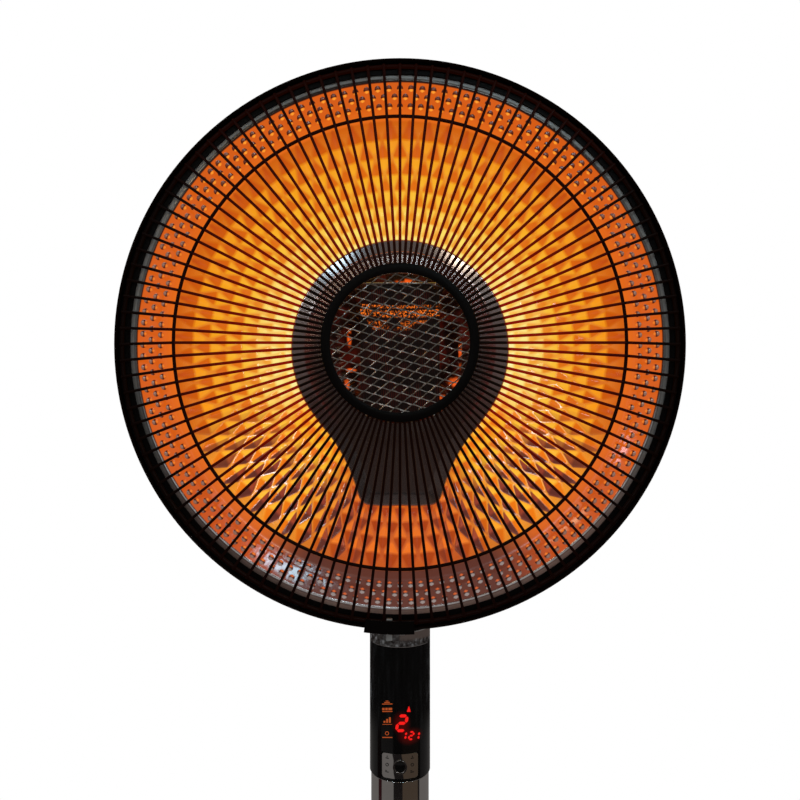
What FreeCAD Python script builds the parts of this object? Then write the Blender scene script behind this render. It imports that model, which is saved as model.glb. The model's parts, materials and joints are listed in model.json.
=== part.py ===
import FreeCAD, Part
import math
import os

from FreeCAD import Vector

# Radiant dish heater on a stand. Lengths are in millimetres and angles in degrees.
# The origin is on the floor on the column's axis, the front faces -Y and +Z is up.

# Clearances
running_fit = 0.05  # radial play of a shaft in its bore
seat_gap = 0.2  # play of a piece in its seat
thrust_gap = 0.1  # between flat faces that turn on each other
cut_margin = 1.0  # how far a cutting shape runs past the piece it cuts

# Hoop round the head
hoop_radius = 200.0
hoop_depth = 20.0
hoop_wall = 1.5
hoop_flange_width = 9.3
hoop_flange_setback = 6.0  # front edge to the flange
hoop_reach = 54.0  # column axis to the hoop's front edge
hoop_split = 0.6

# Joint cover and clip at the bottom of the hoop
joint_width = 35.0
joint_offset = -7.2  # sideways from the middle of the head
joint_sheet = 2.3
joint_lip = 6.8  # how far the cover reaches inwards over the hoop's front
clip_width = 4.2
clip_sheet = 1.0
clip_inset = 7.2  # inner end of the clip, inwards from the hoop's outside
clip_tail = 7.8  # outer end of the clip, outwards from the hoop's outside
clip_setback = 1.9
clip_screw_radius = 1.2
clip_screw_head_radius = 2.4
clip_screw_head = 1.8
clip_screw_offset = 9.0  # sideways from the clip
clip_screw_setback = 5.0

# Reflector dish
dish_sheet = 1.0
dish_lip_width = 13.5  # hoop's outside to the dish's mouth
dish_band_width = 20.5
dish_band_drop = 10.0
dish_land_radius = 40.0
dish_depth = 82.5  # lip to the flat land in the middle

# Wire guard
guard_wire_count = 108
guard_wire = 2.0
guard_rim_wire = 3.0
guard_mid_wire = 2.4
guard_rim_gap = 1.5  # between the rim wire and the hoop's wall
guard_slope_run = 40.5  # rim ring in to the middle ring
guard_stand_off = 13.0  # wires in front of the hoop's front edge
guard_bend_radius = 8.0
weld_sink = 0.3
hub_ring_radius = 54.2
hub_ring_width = 6.6
hub_ring_sheet = 1.2
hub_weld_length = 5.2
mesh_sheet = 0.8
mesh_border = 1.2
mesh_strand_spacing = 5.5
mesh_strand = 0.9
mesh_fall_angle = 15.3  # strands that fall to the right
mesh_rise_angle = 38.1  # strands that rise to the right
smallest_mesh_hole = 1.0  # square millimetres

# Keyhole shield
shield_radius = 82.9
shield_drop = 119.5  # head axis to the bottom edge
shield_setback = 46.0  # hoop's front edge to the shield's face
shield_sheet = 1.2
shield_bevel_width = 8.0
shield_bevel_depth = 8.0
shield_side_angle = 52.0
shield_side_run = 16.2
shield_side_radius = 128.0
shield_side_turn = 20.0
shield_corner = 9.5
shield_inner_corner = 1.5
shield_window_radius = 57.0
shield_post_radius = 3.0
shield_post_circle = 67.0
shield_post_count = 3

# Heating element behind the shield
lamp_count = 3
lamp_spacing = 17.0
lamp_radius = 6.0
lamp_wall = 1.0
lamp_length = 90.0
lamp_setback = 68.0
filament_radius = 1.5
holder_width = 52.0
holder_depth = 16.0
holder_height = 8.0
holder_socket = 3.0
frame_sheet = 1.2
frame_width = 60.0
frame_strip_width = 24.0
frame_front_setback = 56.0
frame_strip_setback = 81.0
screen_width = 61.0
screen_height = 84.0
screen_sheet = 1.0
screen_bow = 3.0
lead_radius = 1.5
lead_spacing = 16.0
lead_length = 31.0
terminal_width = 30.0
terminal_height = 22.0
terminal_depth = 12.0
stem_radius = 9.0
stem_bore = 6.0

# Rear of the head
back_plate_radius = 62.0
back_plate_sheet = 1.5
rear_cover_radius = 90.0
rear_cover_wall = 2.2
rear_cover_corner = 24.0
rear_cover_room = 39.3  # back plate to the inside of the cover's back
vent_count = 7
vent_pitch = 8.0
vent_width = 3.0
vent_length = 52.0
vent_top = 44.0  # head axis up to the first vent
cover_post_count = 4
cover_post_first_angle = 45.0
cover_post_circle = 56.0
cover_post_radius = 4.0
cover_screw_radius = 1.6
cover_screw_head_radius = 3.6
cover_screw_head = 2.2
cover_screw_length = 8.0
cutout_radius = 8.0
cutout_height = 7.5
cutout_side = 26.0
cutout_rise = 22.0
block_width = 26.0
block_height = 16.0
block_depth = 13.0
block_side = 14.0
block_rise = 14.0

# Arm and tilt hinge
pivot_drop = 182.0  # head axis down to the hinge
arm_width = 24.0
arm_thickness = 18.0
arm_pad_top = 8.0
arm_pad_height = 40.0
arm_pad_depth = 16.0
arm_lug_radius = 12.0
arm_screw_radius = 2.0
arm_screw_head_radius = 3.8
arm_screw_head = 2.4
arm_screw_spacing = 24.0
tilt_bush_wall = 3.0
tilt_bolt_radius = 4.0
tilt_head_flats = 13.0
tilt_head_height = 5.3
tilt_nut_height = 6.5
washer_sheet = 1.0
ear_thickness = 6.0
ear_radius = 11.0
fork_disc_radius = 22.5
fork_disc_height = 6.0
fork_spigot_length = 14.0
fork_bore_radius = 7.0
pivot_rise = 28.0  # top of the collar up to the hinge

# Column
core_radius = 13.0
core_wall = 1.5
collar_radius = 23.0
collar_height = 12.0
collar_lip = 3.0
sleeve_wall = 2.0
sleeve_length = 98.0
foot_ring_lip = 1.2
foot_ring_inset = 0.6
foot_ring_spigot = 4.0
pole_radius = 22.0
pole_wall = 1.2
pole_length = 255.8
pole_foot_flange = 2.0
pole_foot_height = 8.0
pole_foot_gap = 1.0
harness_radius = 3.5

# Display panel
board_width = 24.8
board_sheet = 1.6
board_setback = 15.0  # column axis to the board's back
led_width = 11.6
led_height = 31.0
led_depth = 2.8
led_side = 1.8
led_top_drop = 39.0
plate_half_angle = 36.0
plate_height = 18.7
plate_lift = 1.3  # sleeve's bottom up to the plate
plate_sheet = 1.8
button_radius = 5.3
button_play = 0.1
button_lift = 10.3  # sleeve's bottom up to the button
button_proud = 0.7
button_length = 3.3
button_travel = 1.5
switch_width = 6.0

# Swivel gear and its motor
gear_module = 1.5
gear_teeth = 56
pinion_teeth = 14
gear_backlash = 0.2
pressure_angle = 25.0
tooth_root_depth = 1.25  # in modules, below the pitch circle
flank_points = 4
gear_width = 6.0
gear_hub_radius = 18.0
gear_hub_length = 8.0
pinion_overhang = 0.5
pinion_shaft_radius = 2.5
pinion_shaft_seat = 6.0
motor_radius = 25.0
motor_height = 20.0

# Base
base_radius = 145.0
base_skirt = 16.0  # height of the upright edge
base_wall = 2.5
base_hub_radius = 38.0
base_headroom = 3.4  # above the gear's hub
foot_height = 4.0
foot_radius = 9.0
foot_inset = 27.0  # base's edge to the feet's axes
foot_count = 4
plate_thickness = 2.0
bush_wall = 4.0
bush_length = 20.0
bush_flange_radius = 22.0
bush_flange = 2.0
housing_wall = 3.0
housing_floor = 2.0
housing_flange_radius = 26.0
housing_bore_radius = 11.0
ballast_edge_gap = 9.0  # screw bosses to the ballast
ballast_inner_radius = 72.0
ballast_height = 14.0
ballast_gap_width = 70.0
boss_count = 4
boss_radius = 5.0
boss_inset = 17.0  # base's edge to the bosses' axes
base_screw_radius = 1.8
base_screw_head_radius = 3.6
base_screw_head = 1.8
base_screw_length = 12.0
power_board_width = 50.0
power_board_depth = 28.0
power_board_sheet = 1.6
power_board_reach = 62.0
power_board_lift = 4.0
power_board_pin = 2.0
relay_width = 15.0
relay_height = 13.0
gland_radius = 4.8
gland_flange_radius = 5.9
gland_flange = 2.5
gland_bore = 3.4
gland_length = 10.0
gland_rise = 6.2  # above the base plate
tip_side = 48.0  # column axis to the tip-over switch
tip_case_width = 18.0
tip_case_height = 16.0
tip_bore_depth = 12.0
plunger_radius = 3.6
plunger_length = 13.0
plunger_hole_play = 0.6

# Heights above the floor, worked up from the feet
plate_top = foot_height + plate_thickness
bush_bottom = plate_top + housing_floor
bush_flange_bottom = bush_bottom + bush_length
bush_top = bush_flange_bottom + bush_flange
gear_bottom = bush_top + thrust_gap
gear_top = gear_bottom + gear_width
gear_hub_top = gear_top + gear_hub_length
base_top = gear_hub_top + base_headroom + base_wall
foot_flange_bottom = base_top + pole_foot_gap
pole_bottom = foot_flange_bottom + pole_foot_flange
pole_top = pole_bottom + pole_length
sleeve_bottom = pole_top + foot_ring_lip
sleeve_top = sleeve_bottom + sleeve_length
collar_top = sleeve_top + collar_height
pivot_height = collar_top + pivot_rise
head_height = pivot_height + pivot_drop

# Sizes shared by mating pieces
dish_mouth_radius = hoop_radius - dish_lip_width
dish_band_radius = dish_mouth_radius - dish_band_width
guard_rim_radius = hoop_radius - hoop_wall - guard_rim_gap - guard_rim_wire / 2
guard_mid_radius = guard_rim_radius - guard_slope_run
core_bore = core_radius - core_wall
sleeve_radius = collar_radius
sleeve_bore = sleeve_radius - sleeve_wall
pole_bore = pole_radius - pole_wall
arm_half = arm_width / 2
washer_start = arm_half + thrust_gap / 2
ear_start = washer_start + washer_sheet
ear_end = ear_start + ear_thickness
tilt_bush_radius = tilt_bolt_radius + running_fit + tilt_bush_wall
plate_radius = base_radius - base_wall - seat_gap
foot_circle = base_radius - foot_inset
boss_circle = base_radius - boss_inset
ballast_outer_radius = boss_circle - boss_radius - ballast_edge_gap
plate_hole_radius = base_screw_radius + seat_gap
pinion_distance = gear_module * (gear_teeth + pinion_teeth) / 2
bush_radius = core_radius + running_fit + bush_wall
flange_front = hoop_flange_setback
lip_front = hoop_flange_setback + hoop_wall
land_front = lip_front + dish_depth
land_back = land_front + dish_sheet
plate_back = land_back + back_plate_sheet
cover_inside = plate_back + rear_cover_room
cover_back = cover_inside + rear_cover_wall
shield_back = shield_setback + shield_sheet
frame_strip_back = frame_strip_setback + frame_sheet
lamp_half = lamp_length / 2
frame_half = lamp_half + holder_height - holder_socket
hub_inner_radius = hub_ring_radius - hub_ring_width
wire_start_radius = hub_ring_radius - hub_weld_length
wire_radius = guard_wire / 2
guard_front = -guard_stand_off - wire_radius
clip_centre = joint_offset - hoop_split / 2

# The dish's bowl is part of a sphere through the edge of its band and the edge of its land
band_front = lip_front + dish_band_drop
bowl_centre = (
    (dish_land_radius**2 + land_front**2 - dish_band_radius**2 - band_front**2)
    / (2 * (land_front - band_front))
)
bowl_radius = math.hypot(dish_land_radius, land_front - bowl_centre)


def bowl_depth(radius):
    return bowl_centre + math.sqrt(bowl_radius**2 - radius**2)


# The base cover's dome is an arc that is level at the edge of its hub
dome_run = base_radius - base_hub_radius
dome_drop = base_top - foot_height - base_skirt
dome_radius = (dome_run**2 + dome_drop**2) / (2 * dome_drop)


def dome_height(radius, wall):
    reach = radius - base_hub_radius
    return base_top - dome_radius + math.sqrt((dome_radius - wall) ** 2 - reach**2)


def box(low, high):
    size = high - low
    return Part.makeBox(size.x, size.y, size.z, low)


def rod(radius, start, end):
    axis = end - start
    return Part.makeCylinder(radius, axis.Length, start, axis)


def outline(points):
    return Part.makePolygon(points + points[:1])


def section(points):
    return Part.Face(outline([Vector(radius, 0, height) for radius, height in points]))


def turned(face):
    return face.revolve(Vector(), Vector(0, 0, 1), 360)


def ring(inner, outer, bottom, top):
    corners = [(inner, bottom), (outer, bottom), (outer, top), (inner, top)]
    return turned(section(corners))


def ring_sector(inner, outer, bottom, top, middle_angle, half_angle):
    corners = [(inner, bottom), (outer, bottom), (outer, top), (inner, top)]
    face = section(corners)
    face.rotate(Vector(), Vector(0, 0, 1), middle_angle - half_angle)
    return face.revolve(Vector(), Vector(0, 0, 1), 2 * half_angle)


def line(start, end):
    return Part.LineSegment(start, end).toShape()


def arc(start, middle, end):
    return Part.Arc(start, middle, end).toShape()


def turned_copies(shape, count, first_angle=0.0):
    copies = []
    for index in range(count):
        copy = shape.copy()
        copy.rotate(Vector(), Vector(0, 0, 1), first_angle + 360.0 * index / count)
        copies.append(copy)
    return copies


def hexagon(flats, start, length):
    corner = flats / math.sqrt(3)
    points = []
    for index in range(6):
        angle = math.radians(60 * index)
        points.append(start + Vector(0, corner * math.sin(angle), corner * math.cos(angle)))
    return Part.Face(outline(points)).extrude(Vector(length, 0, 0))


def place_in_head(shape):
    # Head pieces are drawn with x to the right, y down and z backwards from the hoop's front edge
    placed = shape.copy()
    placed.rotate(Vector(), Vector(1, 0, 0), -90)
    placed.translate(Vector(0, -hoop_reach, head_height))
    return placed


def clip_box(play):
    low = Vector(clip_centre - clip_width / 2 - play, hoop_radius - clip_inset, clip_setback - play)
    high = Vector(clip_centre + clip_width / 2 + play, hoop_radius + clip_tail, 0)
    high.z = clip_setback + clip_sheet + play
    return box(low, high)


def clip_screw_rod(radius):
    side = clip_centre + clip_screw_offset
    start = Vector(side, hoop_radius - hoop_wall - clip_sheet, clip_screw_setback)
    end = Vector(side, hoop_radius + joint_sheet + seat_gap, clip_screw_setback)
    return rod(radius, start, end)


def rim_hoop():
    inner = hoop_radius - hoop_wall
    flange_inner = hoop_radius - hoop_flange_width
    profile = section([
        (hoop_radius, 0), (hoop_radius, hoop_depth), (inner, hoop_depth), (inner, lip_front),
        (flange_inner, lip_front), (flange_inner, flange_front), (inner, flange_front), (inner, 0),
    ])
    split_low = Vector(clip_centre - hoop_split / 2, flange_inner - cut_margin, -cut_margin)
    split_high = Vector(clip_centre + hoop_split / 2, hoop_radius + cut_margin, hoop_depth + cut_margin)
    hoop = turned(profile).cut(box(split_low, split_high))
    return hoop.cut(clip_box(seat_gap)).cut(clip_screw_rod(clip_screw_radius + running_fit))


def rim_joint_block():
    half_angle = math.degrees(joint_width / 2 / hoop_radius)
    middle_angle = 90 - math.degrees(clip_centre / hoop_radius)
    inner = hoop_radius + running_fit
    outer = hoop_radius + joint_sheet
    lip_inner = hoop_radius - joint_lip
    front = -joint_sheet
    back = hoop_depth - hoop_wall
    cover = ring_sector(inner, outer, -running_fit, back, middle_angle, half_angle)
    lip = ring_sector(lip_inner, outer, front, -running_fit, middle_angle, half_angle)
    block = cover.fuse(lip).removeSplitter()
    return block.cut(clip_box(seat_gap)).cut(clip_screw_rod(clip_screw_radius + running_fit))


def rim_clip():
    strip = clip_box(0)
    low = Vector(clip_centre - clip_width / 2, hoop_radius - clip_inset, clip_setback)
    high = Vector(clip_centre + clip_width / 2, low.y + clip_sheet, flange_front)
    return strip.fuse(box(low, high)).removeSplitter()


def rim_clip_screw():
    shank = clip_screw_rod(clip_screw_radius)
    side = clip_centre + clip_screw_offset
    start = Vector(side, hoop_radius + joint_sheet + running_fit, clip_screw_setback)
    return shank.fuse(rod(clip_screw_head_radius, start, start + Vector(0, clip_screw_head, 0)))


def dish_profile(shift):
    # Edges of the dish's front surface from its rim to its middle hole, moved back by the shift
    rim = hoop_radius - hoop_wall - seat_gap
    corners = [(rim, lip_front), (dish_mouth_radius, lip_front), (dish_band_radius, band_front)]
    corners.append((dish_land_radius, land_front))
    corners.append((stem_radius + seat_gap, land_front))
    points = [Vector(radius, 0, depth + shift) for radius, depth in corners]
    middle_radius = (dish_band_radius + dish_land_radius) / 2
    middle = Vector(middle_radius, 0, bowl_depth(middle_radius) + shift)
    bowl = arc(points[2], middle, points[3])
    edges = [line(points[0], points[1]), line(points[1], points[2]), bowl, line(points[3], points[4])]
    return points, edges


def reflector_dish():
    front_points, front_edges = dish_profile(0)
    back_points, back_edges = dish_profile(dish_sheet)
    ends = [line(front_points[0], back_points[0]), line(front_points[-1], back_points[-1])]
    wire = Part.Wire(Part.__sortEdges__(front_edges + back_edges + ends))
    return turned(Part.Face(wire))


def space_behind_bowl():
    # Everything behind the front surface of the dish's bowl
    far = cover_back
    start = Vector(dish_band_radius, 0, band_front)
    end = Vector(dish_land_radius, 0, land_front)
    middle_radius = (dish_band_radius + dish_land_radius) / 2
    middle = Vector(middle_radius, 0, bowl_depth(middle_radius))
    axis_front = Vector(0, 0, land_front)
    axis_back = Vector(0, 0, far)
    rim_back = Vector(dish_band_radius, 0, far)
    edges = [arc(start, middle, end), line(end, axis_front), line(axis_front, axis_back)]
    edges += [line(axis_back, rim_back), line(rim_back, start)]
    return turned(Part.Face(Part.Wire(edges)))


def guard_wire_solid():
    rim_axis = flange_front - guard_rim_wire - wire_radius + weld_sink
    rise = rim_axis + guard_stand_off
    slope = math.atan2(rise, guard_rim_radius - guard_mid_radius)
    tangent = guard_bend_radius * math.tan(slope / 2)
    start = Vector(wire_start_radius, 0, -guard_stand_off)
    bend_start = Vector(guard_mid_radius - tangent, 0, -guard_stand_off)
    bend_middle = bend_start + Vector(
        guard_bend_radius * math.sin(slope / 2), 0, guard_bend_radius * (1 - math.cos(slope / 2))
    )
    along = Vector(math.cos(slope), 0, math.sin(slope))
    bend_end = Vector(guard_mid_radius, 0, -guard_stand_off) + along * tangent
    end = Vector(guard_rim_radius, 0, rim_axis) + along * wire_radius
    path = Part.Wire([line(start, bend_start), arc(bend_start, bend_middle, bend_end), line(bend_end, end)])
    circle = Part.Wire([Part.makeCircle(wire_radius, start, Vector(1, 0, 0))])
    return path.makePipeShell([circle], True, False)


def guard_basket():
    rim_ring = Part.makeTorus(guard_rim_radius, guard_rim_wire / 2)
    rim_ring.translate(Vector(0, 0, flange_front - guard_rim_wire / 2))
    mid_ring = Part.makeTorus(guard_mid_radius, guard_mid_wire / 2)
    mid_ring.translate(Vector(0, 0, -guard_stand_off + wire_radius + guard_mid_wire / 2 - weld_sink))
    wires = turned_copies(guard_wire_solid(), guard_wire_count, 90.0)
    return rim_ring.fuse([mid_ring] + wires)


def guard_hub_ring():
    return ring(hub_inner_radius, hub_ring_radius, guard_front - hub_ring_sheet, guard_front)


def guard_mesh():
    fall = math.radians(mesh_fall_angle)
    rise = math.radians(mesh_rise_angle)
    along_fall = Vector(math.cos(fall), math.sin(fall), 0)
    along_rise = Vector(math.cos(rise), -math.sin(rise), 0)
    crossing = math.sin(fall + rise)
    side = mesh_strand_spacing / crossing
    half_hole = (side - mesh_strand / crossing) / 2
    radius = min(hub_inner_radius + mesh_border, wire_start_radius - seat_gap)
    window = Part.Face(Part.Wire([Part.makeCircle(hub_inner_radius)]))
    reach = int(radius / (side * math.sin((fall + rise) / 2))) + 1
    holes = []
    for row in range(-reach, reach + 1):
        for column in range(-reach, reach + 1):
            centre = along_fall * (side * row) + along_rise * (side * column)
            if centre.Length > hub_inner_radius + side:
                continue
            first = along_fall * half_hole
            second = along_rise * half_hole
            corners = [centre + first + second, centre - first + second]
            corners += [centre - first - second, centre + first - second]
            hole = Part.Face(outline(corners)).common(window)
            holes += [face.OuterWire for face in hole.Faces if face.Area > smallest_mesh_hole]
    rim = Part.Wire([Part.makeCircle(radius)])
    face = Part.makeFace([rim] + holes, "Part::FaceMakerBullseye")
    face.translate(Vector(0, 0, guard_front))
    return face.extrude(Vector(0, 0, mesh_sheet))


def keyhole(inset, depth):
    # Keyhole outline, moved inwards by the inset: a circle, two sides that curve in and a level foot
    slope = math.radians(shield_side_angle)
    end_slope = math.radians(shield_side_angle + shield_side_turn)
    radius = shield_radius - inset
    normal = Vector(math.sin(slope), math.cos(slope), 0)
    end_normal = Vector(math.sin(end_slope), math.cos(end_slope), 0)
    mid_slope = (slope + end_slope) / 2
    mid_normal = Vector(math.sin(mid_slope), math.cos(mid_slope), 0)
    along = Vector(-math.cos(slope), math.sin(slope), 0)
    end_along = Vector(-math.cos(end_slope), math.sin(end_slope), 0)
    centre = normal * (shield_radius + shield_side_radius) + along * shield_side_run
    leave = normal * radius
    curve_radius = shield_side_radius + inset
    curve_start = centre - normal * curve_radius
    curve_middle = centre - mid_normal * curve_radius
    curve_end = centre - end_normal * curve_radius
    corner = max(shield_corner - inset, shield_inner_corner)
    foot = shield_drop - inset
    run = (foot - corner * (1 - end_normal.y) - curve_end.y) / end_along.y
    corner_start = curve_end + end_along * run
    corner_centre = corner_start - end_normal * corner
    corner_end = corner_centre + Vector(0, corner, 0)
    bisector = end_normal + Vector(0, 1, 0)
    corner_middle = corner_centre + bisector.normalize() * corner

    def mirrored(point):
        return Vector(-point.x, point.y, 0)

    edges = [
        arc(mirrored(leave), Vector(0, -radius, 0), leave),
        line(leave, curve_start),
        arc(curve_start, curve_middle, curve_end),
        line(curve_end, corner_start),
        arc(corner_start, corner_middle, corner_end),
        line(corner_end, mirrored(corner_end)),
        arc(mirrored(corner_end), mirrored(corner_middle), mirrored(corner_start)),
        line(mirrored(corner_start), mirrored(curve_end)),
        arc(mirrored(curve_end), mirrored(curve_middle), mirrored(curve_start)),
        line(mirrored(curve_start), mirrored(leave)),
    ]
    wire = Part.Wire(edges)
    wire.translate(Vector(0, 0, depth))
    return wire


def front_shield():
    edge_depth = shield_setback + shield_bevel_depth
    pan = Part.makeLoft([keyhole(shield_bevel_width, shield_setback), keyhole(0, edge_depth)], True, True)
    inside = pan.copy()
    inside.translate(Vector(0, 0, shield_sheet))
    window = rod(shield_window_radius, Vector(0, 0, 0), Vector(0, 0, edge_depth))
    return pan.cut(inside).cut(window)


def shield_posts():
    start = Vector(0, -shield_post_circle, shield_back)
    end = Vector(0, -shield_post_circle, land_back)
    post = rod(shield_post_radius, start, end).cut(space_behind_bowl())
    return Part.makeCompound(turned_copies(post, shield_post_count))


def element_frame():
    half_strip = frame_strip_width / 2
    half_width = frame_width / 2
    outside = frame_half + frame_sheet
    front = frame_front_setback
    back = frame_strip_back
    strip = box(Vector(-half_strip, -outside, frame_strip_setback), Vector(half_strip, outside, back))
    upper = box(Vector(-half_width, -outside, front), Vector(half_width, -frame_half, back))
    lower = box(Vector(-half_width, frame_half, front), Vector(half_width, outside, back))
    return strip.fuse([upper, lower]).removeSplitter()


def element_screen():
    half = screen_width / 2
    bottom = frame_half
    top = bottom - screen_height
    front = frame_front_setback
    edges = []
    for setback in (front, front + screen_sheet):
        left = Vector(-half, bottom, setback + screen_bow)
        right = Vector(half, bottom, setback + screen_bow)
        edges.append((left, right, arc(left, Vector(0, bottom, setback), right)))
    outer, inner = edges
    wire = Part.Wire([outer[2], line(outer[1], inner[1]), inner[2], line(inner[0], outer[0])])
    return Part.Face(wire).extrude(Vector(0, top - bottom, 0))


def lamp_places():
    first = -lamp_spacing * (lamp_count - 1) / 2
    return [first + lamp_spacing * index for index in range(lamp_count)]


def lamp_rod(radius, side):
    start = Vector(side, -lamp_half, lamp_setback)
    return rod(radius, start, start + Vector(0, lamp_length, 0))


def quartz_tubes():
    bore = lamp_radius - lamp_wall
    tubes = [lamp_rod(lamp_radius, side).cut(lamp_rod(bore, side)) for side in lamp_places()]
    return Part.makeCompound(tubes)


def carbon_filaments():
    return Part.makeCompound([lamp_rod(filament_radius, side) for side in lamp_places()])


def lamp_holder(direction):
    # Ceramic block against one end of the frame, with a socket for each lamp
    ends = sorted((direction * frame_half, direction * (frame_half - holder_height)))
    half_depth = holder_depth / 2
    low = Vector(-holder_width / 2, ends[0], lamp_setback - half_depth)
    high = Vector(holder_width / 2, ends[1], lamp_setback + half_depth)
    sockets = [lamp_rod(lamp_radius + running_fit, side) for side in lamp_places()]
    return box(low, high).cut(sockets)


def lead_terminal():
    top = frame_half + frame_sheet + lead_length
    low = Vector(-terminal_width / 2, top, shield_back)
    high = Vector(terminal_width / 2, top + terminal_height, shield_back + terminal_depth)
    return box(low, high)


def lamp_leads():
    depth = frame_front_setback + lead_radius
    leads = []
    for side in (-lead_spacing / 2, lead_spacing / 2):
        start = Vector(side, frame_half + frame_sheet, depth)
        leads.append(rod(lead_radius, start, start + Vector(0, lead_length, 0)))
    return Part.makeCompound(leads)


def element_stem():
    return ring(stem_bore, stem_radius, frame_strip_back, land_back)


def arm_screw_rod(radius, rise, front, back):
    level = arm_pad_top + arm_pad_height / 2 + rise
    return rod(radius, Vector(0, level, front), Vector(0, level, back))


def arm_screw_levels():
    return (-arm_screw_spacing / 2, arm_screw_spacing / 2)


def back_plate():
    plate = rod(back_plate_radius, Vector(0, 0, land_back), Vector(0, 0, plate_back))
    hole = arm_screw_radius + running_fit
    return plate.cut([arm_screw_rod(hole, rise, land_back, plate_back) for rise in arm_screw_levels()])


def thermal_cutout():
    start = Vector(cutout_side, -cutout_rise, plate_back)
    return rod(cutout_radius, start, start + Vector(0, 0, cutout_height))


def terminal_block():
    low = Vector(-block_side - block_width, -block_rise - block_height, plate_back)
    return box(low, low + Vector(block_width, block_height, block_depth))


def cover_post_rods(radius, front, back):
    start = Vector(cover_post_circle, 0, front)
    end = Vector(cover_post_circle, 0, back)
    return turned_copies(rod(radius, start, end), cover_post_count, cover_post_first_angle)


def cover_posts():
    posts = cover_post_rods(cover_post_radius, plate_back, cover_inside)
    hole_start = cover_inside - cover_screw_length
    holes = cover_post_rods(cover_screw_radius + running_fit, hole_start, cover_inside)
    return Part.makeCompound([post.cut(hole) for post, hole in zip(posts, holes)])


def cover_solid(radius, corner, front, back):
    bend = back - corner
    diagonal = corner * math.sqrt(0.5)
    start = Vector(radius, 0, bend)
    end = Vector(radius - corner, 0, back)
    middle = Vector(radius - corner + diagonal, 0, bend + diagonal)
    edges = [line(Vector(0, 0, front), Vector(radius, 0, front)), line(Vector(radius, 0, front), start)]
    edges += [arc(start, middle, end), line(end, Vector(0, 0, back))]
    edges.append(line(Vector(0, 0, back), Vector(0, 0, front)))
    return turned(Part.Face(Part.Wire(edges)))


def rear_cover():
    inner_radius = rear_cover_radius - rear_cover_wall
    front = bowl_depth(inner_radius) + dish_sheet + seat_gap
    outside = cover_solid(rear_cover_radius, rear_cover_corner, front, cover_back)
    inside = cover_solid(inner_radius, rear_cover_corner - rear_cover_wall, front, cover_inside)
    shell = outside.cut(inside)
    slots = []
    for index in range(vent_count):
        level = -vent_top + vent_pitch * index
        low = Vector(-vent_length / 2, level, cover_inside - rear_cover_wall)
        slots.append(box(low, low + Vector(vent_length, vent_width, 3 * rear_cover_wall)))
    arm_room = arm_half + seat_gap
    arm_back = arm_axis_depth(inner_radius) + arm_thickness
    slots.append(box(Vector(-arm_room, 0, front), Vector(arm_room, rear_cover_radius, arm_back)))
    holes = cover_post_rods(cover_screw_radius + seat_gap, cover_inside, cover_back)
    return shell.cut(slots + holes)


def rear_cover_screws():
    shanks = cover_post_rods(cover_screw_radius, cover_inside - cover_screw_length, cover_back)
    heads = cover_post_rods(cover_screw_head_radius, cover_back, cover_back + cover_screw_head)
    return Part.makeCompound([shank.fuse(head) for shank, head in zip(shanks, heads)])


def arm_start():
    return Vector(0, arm_pad_top + arm_pad_height, plate_back + arm_pad_depth)


def arm_axis_depth(level):
    start = arm_start()
    share = (level - start.y) / (pivot_drop - start.y)
    return start.z + share * (hoop_reach - start.z)


def head_arm():
    start = arm_start()
    pivot = Vector(0, pivot_drop, hoop_reach)
    along = pivot - start
    along.normalize()
    across = Vector(0, -along.z, along.y) * (arm_thickness / 2)
    side = Vector(-arm_half, 0, 0)
    width = Vector(arm_width, 0, 0)
    corners = [start - across + side, pivot - across + side, pivot + across + side, start + across + side]
    bar = Part.Face(outline(corners)).extrude(width)
    pad_low = Vector(-arm_half, arm_pad_top, plate_back)
    pad_high = Vector(arm_half, start.y, start.z + across.z)
    lug = rod(arm_lug_radius, pivot + side, pivot + side + width)
    arm = bar.fuse([box(pad_low, pad_high), lug]).removeSplitter()
    bore = rod(tilt_bush_radius, pivot + side, pivot + side + width)
    hole = arm_screw_radius + running_fit
    holes = [arm_screw_rod(hole, rise, plate_back, pad_high.z) for rise in arm_screw_levels()]
    return arm.cut([bore] + holes)


def arm_screws():
    back = arm_start().z + head_arm_pad_extra()
    screws = []
    for rise in arm_screw_levels():
        shank = arm_screw_rod(arm_screw_radius, rise, land_back, back)
        head = arm_screw_rod(arm_screw_head_radius, rise, back, back + arm_screw_head)
        screws.append(shank.fuse(head))
    return Part.makeCompound(screws)


def head_arm_pad_extra():
    start = arm_start()
    along = Vector(0, pivot_drop, hoop_reach) - start
    along.normalize()
    return along.y * arm_thickness / 2


def tilt_bush():
    pivot = Vector(0, pivot_drop, hoop_reach)
    half = Vector(arm_half, 0, 0)
    bore = tilt_bolt_radius + running_fit
    return rod(tilt_bush_radius, pivot - half, pivot + half).cut(rod(bore, pivot - half, pivot + half))


def neck_fork():
    disc_top = collar_top + fork_disc_height
    fork = [rod(fork_disc_radius, Vector(0, 0, collar_top), Vector(0, 0, disc_top))]
    spigot_radius = core_bore - running_fit
    fork.append(rod(spigot_radius, Vector(0, 0, collar_top - fork_spigot_length), Vector(0, 0, collar_top)))
    holes = [rod(fork_bore_radius, Vector(0, 0, collar_top - fork_spigot_length), Vector(0, 0, disc_top))]
    for start, end in ((-ear_end, -ear_start), (ear_start, ear_end)):
        ear_low = Vector(start, -ear_radius, disc_top)
        fork.append(box(ear_low, Vector(end, ear_radius, pivot_height)))
        fork.append(rod(ear_radius, Vector(start, 0, pivot_height), Vector(end, 0, pivot_height)))
        hole = tilt_bolt_radius + running_fit
        holes.append(rod(hole, Vector(start, 0, pivot_height), Vector(end, 0, pivot_height)))
    return fork[0].fuse(fork[1:]).removeSplitter().cut(holes)


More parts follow.
